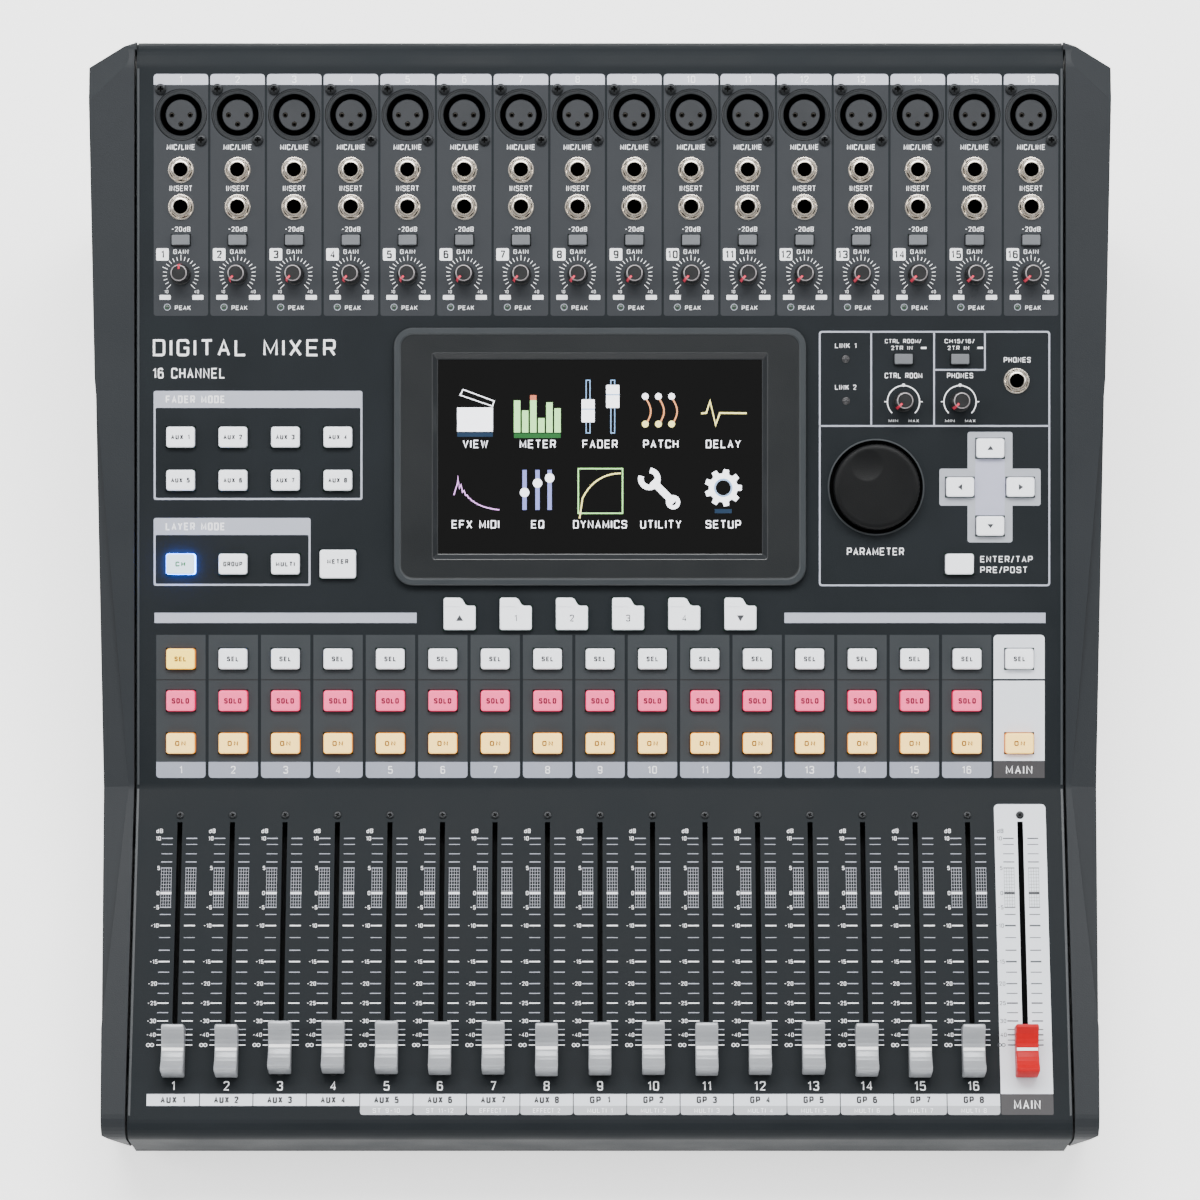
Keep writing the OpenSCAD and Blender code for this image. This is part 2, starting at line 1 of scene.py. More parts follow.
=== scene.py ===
from math import cos, exp, hypot, pi, radians as rad, sin, sqrt
import bpy
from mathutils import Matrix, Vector


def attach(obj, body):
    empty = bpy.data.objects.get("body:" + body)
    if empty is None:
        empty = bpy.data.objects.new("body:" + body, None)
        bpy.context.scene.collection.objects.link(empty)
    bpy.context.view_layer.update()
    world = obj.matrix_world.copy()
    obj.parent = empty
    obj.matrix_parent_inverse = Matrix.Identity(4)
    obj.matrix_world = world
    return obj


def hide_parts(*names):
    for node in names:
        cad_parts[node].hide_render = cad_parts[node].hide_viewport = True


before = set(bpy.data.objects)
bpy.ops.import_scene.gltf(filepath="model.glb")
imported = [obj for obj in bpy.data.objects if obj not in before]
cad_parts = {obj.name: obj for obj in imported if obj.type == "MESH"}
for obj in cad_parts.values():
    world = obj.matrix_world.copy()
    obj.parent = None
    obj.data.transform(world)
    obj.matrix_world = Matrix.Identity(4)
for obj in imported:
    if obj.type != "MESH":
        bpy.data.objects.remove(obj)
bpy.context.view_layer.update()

# ---- the console's measures, in millimetres
MAIN_SLOPE, FADER_SLOPE = 19, 3
FADER_DECK, MAIN_DECK, TOP_STRIP, FRONT_H = 166, 340, 14.7, 54
BODY_W, SHEET = 436, 1.5
DEPTH = FADER_DECK * cos(rad(FADER_SLOPE)) + MAIN_DECK * cos(rad(MAIN_SLOPE)) + TOP_STRIP
CREASE_Y = -DEPTH / 2 + FADER_DECK * cos(rad(FADER_SLOPE))
CREASE_Z = FRONT_H + FADER_DECK * sin(rad(FADER_SLOPE))
REAR_PANEL_Y = DEPTH / 2 - 6
PITCH, INPUT_PITCH, CHANNELS = 24.65, 26.67, 16
# how far up each fader cap is shown, and how far down its deck the lowest place is
REST = [0, 0, 1.6, 1.8, 1.6, 1.2, 1.4, 0.6, 1, 1.2, 0.8, 1.2, 1.3, 0.4, 0, 0, 0]
FADER_LOW = 126.5
# rows on the main deck, measured up its slope from the crease
XLR_V, LINE_V, INSERT_V, PAD_V, GAIN_V, PEAK_V = 316.2, 290.3, 272.8, 257.2, 241, 225.7
SEL_V, SOLO_V, ON_V = 60.2, 40.5, 20.5
MODE_ROWS, LAYER_V, PAGE_V = (164.5, 144.2), 104.8, 81.4
SOURCE_V, LEVEL_V, PHONES_V = 201.2, 181.2, 191
# places across the console, from its middle
PEAK_SIDE = 6.4
CTRL_U, HEADPHONE_U, PHONES_U = 142.8, 169.4, 196
WHEEL_U, WHEEL_V = 129.9, 141
CURSOR_U, CURSOR_V, CURSOR_DU, CURSOR_DV = 183.5, 141.0, 14.2, 18.3
REAR_XLR, REAR_SOCKET_Z, POWER_X = (-150, -118), 88, 178
REAR_JACKS = [-84 + 20 * i for i in range(10)]
# parts that repeat
BTN_W, BTN_D, BTN_H, LABEL_H = 13.6, 9.9, 2.8, 2.84
XLR_R, JACK_R = 9.8, 3.2


def col(i):
    return (i - 8) * PITCH


def inp(i):
    return col(0) + i * INPUT_PITCH


# ---- places: local millimetres to the frame
def deck(slope):
    c, s = cos(rad(slope)), sin(rad(slope))

    def place(u, v, turn=0):
        ct, st = cos(rad(turn)), sin(rad(turn))

        def at(p):
            x, y = p[0] * ct - p[1] * st, p[0] * st + p[1] * ct
            z = p[2] if len(p) > 2 else 0
            return Vector((u + x, CREASE_Y + (v + y) * c - z * s, CREASE_Z + (v + y) * s + z * c)) * 0.001
        return at
    return place


main = deck(MAIN_SLOPE)
fader_deck = deck(FADER_SLOPE)


def fad(u, w, turn=0):
    return fader_deck(u, -w, turn)


def rear(x, z):
    def at(p):
        h = p[2] if len(p) > 2 else 0
        return Vector((x - p[0], REAR_PANEL_Y + h, z + p[1])) * 0.001
    return at


# ---- materials
def rgb(code):
    c = [int(code[k:k + 2], 16) / 255 for k in (1, 3, 5)]
    return [x / 12.92 if x <= 0.04045 else ((x + 0.055) / 1.055) ** 2.4 for x in c] + [1]


def surface(name, colour, rough=0.5, metal=0.0, vary=0.10, scale=60, grain=0.0, grain_scale=1500,
            glow=None, glow_strength=0.0, coat=0.0, streak=None, spec=0.5, rough_vary=0.12):
    """A node material: colour with a soft cloudy variation, uneven roughness and a fine grain."""
    m = bpy.data.materials.new(name)
    m.use_nodes = True
    t = m.node_tree
    n, link = t.nodes, t.links.new
    b = n["Principled BSDF"]
    where = n.new("ShaderNodeTexCoord").outputs["Object"]
    if streak:
        mapping = n.new("ShaderNodeMapping")
        mapping.inputs["Scale"].default_value = streak
        link(where, mapping.inputs["Vector"])
        where = mapping.outputs["Vector"]

    def noise(s, detail):
        k = n.new("ShaderNodeTexNoise")
        k.inputs["Scale"].default_value = s
        k.inputs["Detail"].default_value = detail
        link(where, k.inputs["Vector"])
        return k.outputs["Fac"]

    cloud, fine = noise(scale, 3), noise(grain_scale, 2)
    base = rgb(colour)
    mix = n.new("ShaderNodeMix")
    mix.data_type = "RGBA"
    mix.inputs[6].default_value = [max(0, c * (1 - vary)) for c in base[:3]] + [1]
    mix.inputs[7].default_value = [min(1, c * (1 + vary)) for c in base[:3]] + [1]
    both = n.new("ShaderNodeMath")
    both.operation = "MULTIPLY_ADD"
    both.inputs[1].default_value = 0.55
    fine_share = n.new("ShaderNodeMath")
    fine_share.operation = "MULTIPLY"
    fine_share.inputs[1].default_value = 0.45
    link(fine, fine_share.inputs[0])
    link(cloud, both.inputs[0])
    link(fine_share.outputs[0], both.inputs[2])
    spread = n.new("ShaderNodeMapRange")
    spread.inputs[1].default_value, spread.inputs[2].default_value = 0.3, 0.7
    link(both.outputs[0], spread.inputs[0])
    link(spread.outputs[0], mix.inputs[0])
    link(mix.outputs[2], b.inputs["Base Color"])
    r = n.new("ShaderNodeMapRange")
    r.inputs[1].default_value, r.inputs[2].default_value = 0.3, 0.7
    r.inputs[3].default_value = max(0.02, rough * (1 - rough_vary))
    r.inputs[4].default_value = min(1, rough * (1 + rough_vary))
    link(cloud, r.inputs[0])
    link(r.outputs[0], b.inputs["Roughness"])
    b.inputs["Metallic"].default_value = metal
    b.inputs["Specular IOR Level"].default_value = spec
    b.inputs["IOR"].default_value = 1.45
    b.inputs["Coat Weight"].default_value = coat
    if grain:
        bump = n.new("ShaderNodeBump")
        bump.inputs["Strength"].default_value = grain
        bump.inputs["Distance"].default_value = 0.0002
        link(fine, bump.inputs["Height"])
        link(bump.outputs[0], b.inputs["Normal"])
    if glow:
        b.inputs["Emission Color"].default_value = rgb(glow)
        b.inputs["Emission Strength"].default_value = glow_strength
    return m


def print_ink(name, colour, vary, **more):
    return surface(name + "_ink", colour, 0.5, vary=vary, **more)


def lit(name, colour, strength=1.0):
    return surface(name, colour, 0.4, vary=0.05, glow=colour, glow_strength=strength)


PANEL = surface("panel_paint", "#1b1f22", 0.55, vary=0.14, scale=25, grain=0.25, grain_scale=2600, spec=0.12)
CHASSIS = surface("chassis_paint", "#16181a", 0.5, vary=0.08, grain=0.2, spec=0.4)
CHEEK = surface("cheek_moulding", "#25282b", 0.5, spec=0.22, vary=0.06, scale=14, grain=0.35, grain_scale=1900)
STRIP = surface("strip_ink", "#2b2e32", 0.55, spec=0.3, vary=0.06, scale=30, grain=0.2, grain_scale=2600)
CELL = surface("cell_ink", "#303437", 0.55, spec=0.3, vary=0.06, scale=30, grain=0.2, grain_scale=2600)
LINE = surface("divider_ink", "#0d0e10", 0.6, vary=0.08)
LIGHT = print_ink("light", "#c0c3ce", 0.03)
TAB = print_ink("tab", "#a9adba", 0.03)
CELL_TAB = print_ink("cell_tab", "#9398a6", 0.03)
# The white print and the white plates glow a little: painted light that makes them brighter than the lamps alone
# would.
WHITE = print_ink("white", "#f2f3f6", 0.02, glow="#f2f3f6", glow_strength=0.3)
PLATE = print_ink("plate", "#dfe4eb", 0.02, glow="#dfe4eb", glow_strength=0.15)
LILAC = print_ink("cursor_plate", "#b0b2c6", 0.02)
LILAC_EDGE = print_ink("cursor_plate_edge", "#a6aab2", 0.02)
BOX_GREY = print_ink("second_row", "#b7babf", 0.03)
DARK = surface("dark_ink", "#3a393b", 0.55, vary=0.05)
GREYTEXT = print_ink("grey_text", "#3a3d44", 0.04)
# A lighter grey for thin edges: a painted highlight along the panel's side edges and round the wheel recess.
EDGE_LIP_HIGHLIGHT = surface("edge_lip_painted_highlight", "#33373a", 0.4, vary=0.05)
NICKEL = surface("nickel_plate", "#f4ece0", 0.24, 1.0, vary=0.05, scale=500, grain=0.1, grain_scale=900)
# Near-black with almost no reflection for holes, grooves, recess walls and floors, the insert sides and the
# screws' cross recesses: partly the black plastic there, partly painted shade that darkens these hollows. The
# power switch's rocker uses it as plain black.
BORE_BLACK_AND_SHADE = surface("bore_black_and_painted_shade", "#030303", 0.7, vary=0.2, spec=0.1)
SOCKET = surface("socket_black", "#121315", 0.42, vary=0.12, grain=0.2, spec=0.4)
RING = surface("flange_ring_black", "#1e2124", 0.38, vary=0.1, grain=0.15)
INSERT = surface("insert_grey", "#212428", 0.5, vary=0.08, grain=0.2)
CONTACT = surface("contact_metal", "#2b2824", 0.4, 0.8, vary=0.1)
SCREW = surface("screw_black_oxide", "#1e2022", 0.35, 0.6, vary=0.2, scale=400, grain=0.3)
CAP = surface("fader_cap_silver", "#9a9da1", 0.36, 0.3, vary=0.04, scale=120, grain=0.12)
# The white line on the fader caps glows a little: painted light, as the line is print and no lamp.
CAP_LINE = surface("fader_line_white", "#fbfbfb", 0.4, vary=0.01, glow="#ffffff", glow_strength=0.15)
RED = surface("main_cap_red", "#b40210", 0.45, vary=0.05, scale=120, grain=0.1, spec=0.2)
STEM = surface("stem_steel", "#55585b", 0.35, 1.0, vary=0.1)
KNOB = surface("knob_black", "#0e0f11", 0.45, vary=0.15, scale=200, grain=0.3)
# The band round the knob's top edge is a light grey on the black knob: a painted highlight along the rim.
KNOB_TOP_HIGHLIGHT = surface("knob_top_painted_highlight", "#8f8a8c", 0.3, 0.3, vary=0.1, scale=200)
POINTER = surface("pointer_red", "#e0284a", 0.4, vary=0.05)
WHEEL = surface("wheel_black", "#0a0b0c", 0.5, vary=0.08, scale=40, grain=0.25, grain_scale=2200, spec=0.2)
# Plain white buttons: the top glows a little though the button is unlit, a painted highlight, and the side is a
# darker grey copy of the same white plastic, painted shade.
BTN = surface("button_white", "#eceff4", 0.35, vary=0.02, scale=200, glow="#eceff4", glow_strength=0.6)
BTN_SIDE_PAINTED_SHADE = surface("button_white_side_painted_shade", "#b9bdc6", 0.4, vary=0.04)
AMBER = surface("button_amber", "#ffdc8c", 0.35, vary=0.03, glow="#ffc84e", glow_strength=1.3)
AMBER_SIDE = surface("button_amber_side", "#e09030", 0.4, vary=0.05, glow="#f08010", glow_strength=1.2)
GOLD = surface("button_gold", "#ffdf6a", 0.35, vary=0.03, glow="#ffd030", glow_strength=1.3)
PINK = surface("button_pink", "#f25c88", 0.35, vary=0.03, glow="#ff4680", glow_strength=0.7)
PINK_SIDE = surface("button_pink_side", "#c21d4a", 0.4, vary=0.05, glow="#e01050", glow_strength=1.2)
BLUE = surface("button_blue_lit", "#dff2ff", 0.35, vary=0.02, glow="#bfe6ff", glow_strength=0.55)
BLUE_SIDE = surface("button_blue_side", "#4a8cf0", 0.4, vary=0.03, glow="#1f6fff", glow_strength=40.0)
BTN_INK = print_ink("button", "#17181c", 0.05)
PINK_INK = print_ink("pink_button", "#6a0022", 0.05)
AMBER_INK = print_ink("amber_button", "#8a5600", 0.05)
BLUE_INK = print_ink("blue_button", "#1f7a3c", 0.05)
ARROW = print_ink("arrow", "#3a3c40", 0.05)
PUSH = surface("switch_grey", "#65686c", 0.4, vary=0.04, grain=0.15)
BEZEL = surface("bezel_moulding", "#15181a", 0.5, spec=0.3, vary=0.05, scale=30, grain=0.3, grain_scale=2400)
# A lighter grey for the bezel's raised rim and the slope into the wheel recess: a painted highlight on these
# edges.
RAISED_RIM_HIGHLIGHT = surface("bezel_rim", "#2e3235", 0.42, spec=0.35, vary=0.04, grain=0.2)
FRAME = surface("window_frame", "#1b1e21", 0.35, vary=0.04)
SCREEN = surface("screen_glass", "#020202", 0.12, vary=0.1, rough_vary=0.05)
LENS = surface("lamp_lens", "#343436", 0.2, vary=0.1, coat=0.3)
BOARD = surface("board_laminate", "#1d5a34", 0.4, vary=0.25, scale=300)
STEEL = surface("fader_steel", "#0b0c0d", 0.6, vary=0.1, scale=200, grain=0.2, streak=(1, 30, 1), spec=0.15)
ALU = surface("supply_case", "#b9bbbd", 0.4, 1.0, vary=0.08, scale=80, grain=0.2)
RUBBER = surface("foot_rubber", "#1a1a1a", 0.85, vary=0.2, scale=300, grain=0.5)
S_WHITE = lit("screen_white", "#f4f6ff", 1.6)
S_GREEN = lit("screen_green", "#9fe08a", 1.1)
S_BLUE = lit("screen_blue", "#7ea7d6", 0.6)
S_ORANGE = lit("screen_orange", "#d98f5e", 0.6)
S_YELLOW = lit("screen_yellow", "#f2e890", 1.1)
S_PINK = lit("screen_pink", "#dc9cec", 1.0)
S_VIOLET = lit("screen_violet", "#7b82c8", 0.6)
S_RED = lit("screen_red", "#c0674c", 0.6)
S_DIM = lit("screen_dim", "#0e2a44", 0.08)
S_GREEN_DIM = lit("screen_green_dim", "#1a5c28", 0.15)


# ---- mesh making
class Part:
    """Faces gathered into one object. Points go in as local millimetres with the place they stand at."""

    def __init__(self, name, body="console", angle=32):
        self.name, self.body, self.angle = name, body, angle
        self.v, self.f, self.i, self.mats = [], [], [], []

    def add(self, points, faces, mat, at):
        if mat not in self.mats:
            self.mats.append(mat)
        n, k = len(self.v), self.mats.index(mat)
        self.v += [at(p) for p in points]
        self.f += [[n + a for a in f] for f in faces]
        self.i += [k] * len(faces)

    def make(self, *replaced, slot=None):
        me = bpy.data.meshes.new(self.name)
        me.from_pydata(self.v, [], self.f)
        for m in self.mats:
            me.materials.append(m)
        me.polygons.foreach_set("material_index", self.i)
        me.shade_smooth()
        me.set_sharp_from_angle(angle=rad(self.angle))
        me.update()
        o = bpy.data.objects.new(self.name, me)
        bpy.context.scene.collection.objects.link(o)
        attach(o, self.body)
        if replaced:
            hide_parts(*replaced)
        return o


def ring_rect(w, d, z, r, n=4, dx=0, dy=0):
    """A rounded rectangle as a ring, with n steps to a corner."""
    r = max(0.01, min(r, w / 2 - 0.01, d / 2 - 0.01))
    out = []
    for q, (sx, sy) in enumerate(((1, 1), (-1, 1), (-1, -1), (1, -1))):
        for k in range(n + 1):
            a = rad(90 * q + 90 * k / n)
            out.append((dx + sx * (w / 2 - r) + r * cos(a), dy + sy * (d / 2 - r) + r * sin(a), z))
    return out


def ring_round(r, z, n=48):
    """A ring of n points. r is its radius, or a function that gives it from a point's number."""
    radii = [r(k) if callable(r) else r for k in range(n)]
    return [(q * cos(2 * pi * k / n), q * sin(2 * pi * k / n), z) for k, q in enumerate(radii)]


def loft(part, rings, at, mat, caps=(True, True), mats=None):
    """Joins rings of equal length, each a loop that runs anticlockwise, from the bottom up.
    mats gives every band a material of its own, with a hard edge between bands."""
    n = len(rings[0])
    if mats:
        for low, high, band_mat in zip(rings, rings[1:], mats):
            loft(part, [low, high], at, band_mat, (False, False))
    else:
        quads = [[j * n + k, j * n + (k + 1) % n, (j + 1) * n + (k + 1) % n, (j + 1) * n + k]
                 for j in range(len(rings) - 1) for k in range(n)]
        part.add([p for r in rings for p in r], quads, mat, at)
    if caps[0]:
        part.add(rings[0], [list(range(n))[::-1]], mats[0] if mats else mat, at)
    if caps[1]:
        part.add(rings[-1], [list(range(n))], mats[-1] if mats else mat, at)


def lathe(part, profile, at, mat, n=48, mats=None):
    """Turns a profile of (radius, height). A radius of 0 at either end closes it with a disc."""
    close0, close1 = profile[0][0] == 0, profile[-1][0] == 0
    p = profile[1 if close0 else 0:-1 if close1 else None]
    loft(part, [ring_round(r, z, n) for r, z in p], at, mat, (close0, close1), mats)


def box_mm(part, w, d, z0, z1, at, mat):
    loft(part, [ring_rect(w, d, z, 0.02, 1) for z in (z0, z1)], at, mat)


def flange(part, w, d, r, z0, z1, at, mat):
    """A block with a round hole through it. The hole's own wall comes from the socket."""
    for z, up in ((z0, False), (z1, True)):
        pts, faces = flat([rect(-w / 2, -d / 2, w / 2, d / 2), circle(0, 0, r, 32)], z)
        part.add(pts, faces if up else [f[::-1] for f in faces], mat, at)
    loft(part, [ring_rect(w, d, z, 0.02, 1) for z in (z0, z1)], at, mat, (False, False))


def flat(loops, z=0.0):
    """A filled outline with holes, as points and faces that face up."""
    c = bpy.data.curves.new("flat", "CURVE")
    c.dimensions, c.fill_mode = "2D", "BOTH"
    for loop in loops:
        s = c.splines.new("POLY")
        s.points.add(len(loop) - 1)
        for k, p in enumerate(loop):
            s.points[k].co = (p[0], p[1], 0, 1)
        s.use_cyclic_u = True
    o = bpy.data.objects.new("flat", c)
    me = o.to_mesh()
    pts = [(v.co.x, v.co.y, z) for v in me.vertices]
    faces = [list(f.vertices) for f in me.polygons]
    ups = [f.normal.z > 0 for f in me.polygons]
    faces = [f if up else f[::-1] for f, up in zip(faces, ups)]
    o.to_mesh_clear()
    bpy.data.objects.remove(o)
    bpy.data.curves.remove(c)
    return pts, faces


def rect(x0, y0, x1, y1, r=0.0, n=4):
    if r <= 0:
        return [(x0, y0), (x1, y0), (x1, y1), (x0, y1)]
    return [p[:2] for p in ring_rect(x1 - x0, y1 - y0, 0, r, n, (x0 + x1) / 2, (y0 + y1) / 2)]


def circle(x, y, r, n=40):
    return [(x + r * cos(2 * pi * k / n), y + r * sin(2 * pi * k / n)) for k in range(n)]


GLYPHS = {
    "A": "0,0 2,6 4,0|0.8,2 3.2,2", "B": "0,0 3,0 4,1 4,2.1 3,3.1 4,4 4,5 3,6 0,6 z|0,3.1 3,3.1",
    "C": "4,4.6 4,5 3,6 1,6 0,5 0,1 1,0 3,0 4,1 4,1.4", "D": "0,0 3,0 4,1 4,5 3,6 0,6 z",
    "E": "4,0 0,0 0,6 4,6|0,3 3.5,3", "F": "0,0 0,6 4,6|0,2.9 3.5,2.9",
    "G": "4,4.6 4,5 3,6 1,6 0,5 0,1 1,0 3,0 4,1 4,2.9 2.3,2.9", "H": "0,0 0,6|4,0 4,6|0,3 4,3",
    "I": "0,0 0,6", "K": "0,0 0,6|4,6 0.3,2.6|1.5,3.6 4,0", "L": "0,6 0,0 3.7,0", "M": "0,0 0,6 2.4,1 4.8,6 4.8,0",
    "N": "0,0 0,6 4,0 4,6", "O": "1,0 3,0 4,1 4,5 3,6 1,6 0,5 0,1 z",
    "P": "0,0 0,6 3,6 4,5 4,3.6 3,2.6 0,2.6",
    "Q": "1,0 3,0 4,1 4,5 3,6 1,6 0,5 0,1 z|2.6,1.7 4.3,-0.2",
    "R": "0,0 0,6 3,6 4,5 4,3.7 3,2.7 0,2.7|2.3,2.7 4,0",
    "S": "0,1.2 0,1 1,0 3,0 4,1 4,2.1 3,3.1 1,3.1 0,4.1 0,5 1,6 3,6 4,5 4,4.8", "T": "0,6 4,6|2,0 2,6",
    "U": "0,6 0,1 1,0 3,0 4,1 4,6", "V": "0,6 2,0 4,6", "W": "0,6 1.4,0 2.8,5.4 4.2,0 5.6,6",
    "X": "0,0 4,6|0,6 4,0", "Y": "0,6 2,2.8 4,6|2,2.8 2,0",
    "0": "1,0 2.6,0 3.6,1 3.6,5 2.6,6 1,6 0,5 0,1 z", "1": "0,4.7 1.5,6 1.5,0",
    "2": "0,4.7 0,5 1,6 2.6,6 3.6,5 3.6,3.9 0,0 3.7,0",
    "3": "0,5 1,6 2.6,6 3.6,5 3.6,4.1 2.6,3.1 3.6,2.1 3.6,1 2.6,0 1,0 0,1|1.3,3.1 2.6,3.1",
    "4": "2.9,0 2.9,6 0,1.7 3.9,1.7", "5": "3.5,6 0.3,6 0,3.3 2.6,3.5 3.6,2.5 3.6,1 2.6,0 1,0 0,1",
    "6": "3.5,5.2 2.6,6 1,6 0,5 0,1 1,0 2.6,0 3.6,1 3.6,2.5 2.6,3.5 0,3.5", "7": "0,6 3.7,6 1.2,0",
    "8": "1,3.1 0,4.1 0,5 1,6 2.6,6 3.6,5 3.6,4.1 2.6,3.1 3.6,2.1 3.6,1 2.6,0 1,0 0,1 0,2.1 1,3.1 2.6,3.1",
    "9": "0.1,0.8 1,0 2.6,0 3.6,1 3.6,5 2.6,6 1,6 0,5 0,3.6 1,2.6 3.6,2.6", "-": "0.2,2.9 2.6,2.9",
    "/": "0,-0.4 2.3,6.4", "d": "3.4,6 3.4,0|3.4,1 2.4,0 1,0 0,1 0,3.1 1,4.1 2.4,4.1 3.4,3.1",
}


def soften(pts):
    """Turns the cut corners of a letter into round ones."""
    out = [pts[0]]
    for k in range(1, len(pts)):
        a, b = pts[k - 1], pts[k]
        if abs(b[0] - a[0]) == 1 and abs(b[1] - a[1]) == 1:
            level = pts[k + 1][1] == b[1] if k + 1 < len(pts) else pts[k - 2][0] == a[0]
            c = (a[0], b[1]) if level else (b[0], a[1])
            for t in (0.25, 0.5, 0.75):
                out.append([(1 - t) ** 2 * a[q] + 2 * t * (1 - t) * c[q] + t * t * b[q] for q in (0, 1)])
        out.append(b)
    return out


glyphs = {}
for letter, spec in GLYPHS.items():
    glyphs[letter] = []
    for stroke in spec.split("|"):
        closed = stroke.endswith("z")
        pts = [tuple(float(q) for q in p.split(",")) for p in stroke.split() if p != "z"]
        if closed:
            pts = soften(pts + [pts[0]])[:-1]
            glyphs[letter].append((pts, True))
        else:
            glyphs[letter].append((soften(pts), False))


def write(part, s, at, cap, mat, x=0.0, y=0.0, h=0.1, align="c", weight=0.14, width=None):
    """Writes s in strokes, with capitals cap millimetres tall, centred on x and y or starting or ending at x.
    weight is the stroke's share of the height, and width fits the word to a length."""
    t = weight * cap
    gap = 1.35 * cap / 6 + t
    unit = (cap - t) / 6
    spans = [2.2 if c == " " else max(p[0] for st, _ in glyphs[c] for p in st) for c in s]
    free = gap * (len(s) - 1) + t
    sx = unit * 0.92
    if width:
        gap *= min(1.6, max(0.75, (width - t) / (sx * sum(spans) + free - t)))
        sx = (width - t - gap * (len(s) - 1)) / sum(spans)
    total = sx * sum(spans) + gap * (len(s) - 1) + t
    pen = x + t / 2 - (total / 2 if align == "c" else total if align == "r" else 0)
    rise = 0    # crossing strokes lie at slightly different heights
    for c, span in zip(s, spans):
        for pts, closed in glyphs.get(c, ()):
            run = [(pen + p[0] * sx, y - cap / 2 + t / 2 + p[1] * unit) for p in pts]
            path(part, run, t, mat, at, h + 0.004 * rise, closed, 0.8)
            rise = (rise + 1) % 4
        pen += span * sx + gap


def line(part, x0, y0, x1, y1, t, mat, at, h=0.1):
    dx, dy = x1 - x0, y1 - y0
    n = hypot(dx, dy) or 1
    ox, oy = -dy / n * t / 2, dx / n * t / 2
    part.add([(x0 + ox, y0 + oy, h), (x0 - ox, y0 - oy, h), (x1 - ox, y1 - oy, h), (x1 + ox, y1 + oy, h)],
             [[0, 1, 2, 3]], mat, at)


def path(part, pts, t, mat, at, h=0.1, closed=False, limit=0.4):
    """A line of thickness t along the points, mitred at its corners as far as limit lets it."""
    n = len(pts)
    left, right = [], []
    for k in range(n):
        a = pts[k - 1] if (k or closed) else None
        b = pts[(k + 1) % n] if (k < n - 1 or closed) else None
        p = Vector(pts[k])
        d1 = (p - Vector(a)).normalized() if a else (Vector(b) - p).normalized()
        d2 = (Vector(b) - p).normalized() if b else d1
        m = Vector((-(d1 + d2).y, (d1 + d2).x))
        m = m.normalized() if m.length > 1e-6 else Vector((-d1.y, d1.x))
        reach = t / 2 / max(limit, m.dot(Vector((-d1.y, d1.x))))
        left.append((*(p + m * reach), h))
        right.append((*(p - m * reach), h))
    last = n if closed else n - 1
    part.add(left + right, [[n + k, n + (k + 1) % n, (k + 1) % n, k] for k in range(last)], mat, at)


def fill(part, loops, mat, at, h=0.1):
    part.add(*flat(loops, h), mat, at)


def arc(x, y, r, a0, a1, n=24):
    """Points on an arc, by clock angle in degrees from straight up."""
    return [(x + r * sin(rad(a0 + (a1 - a0) * k / n)), y + r * cos(rad(a0 + (a1 - a0) * k / n)))
            for k in range(n + 1)]


# ---- carried-over CAD nodes
def finish_node(name, mat, bevel=0):
    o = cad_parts[name]
    o.data.materials.clear()
    o.data.materials.append(mat)
    if bevel:
        b = o.modifiers.new("edge", "BEVEL")
        b.width, b.segments, b.limit_method, b.angle_limit = bevel * 0.001, 2, "ANGLE", rad(38)


for name, mat in (("top_panel", PANEL), ("bottom_chassis", CHASSIS), ("rear_panel", CHASSIS),
                  ("circuit_boards", BOARD), ("power_supply", ALU), ("fader_tracks", STEEL),
                  ("rubber_feet", RUBBER), ("display_panel", SCREEN), ("mains_inlet", SOCKET),
                  ("power_switch", BORE_BLACK_AND_SHADE)):
    finish_node(name, mat)
for name in ("left_cheek", "right_cheek"):
    finish_node(name, CHEEK, 0.8)

O = main(0, 0)          # the main deck's own coordinates: x across, y up the deck
F = fader_deck(0, 0)    # the fader deck's: y is minus the distance down from the crease
H1, H2, H3 = 0.05, 0.10, 0.15      # heights of the layers of ink


def topped(x, half_w, y0, foot, top, r, keep):
    """A box whose upper corners are round: only the corner points above keep are used."""
    corners = [p for p in rect(x - half_w, y0, x + half_w, top, r) if p[1] > keep]
    return [(x - half_w, foot), (x + half_w, foot)] + corners


def button_hole(x, v):
    return rect(x - 7.1, v - 5.25, x + 7.1, v + 5.25)



# ---- printing on the decks
ink = Part("deck_printing")

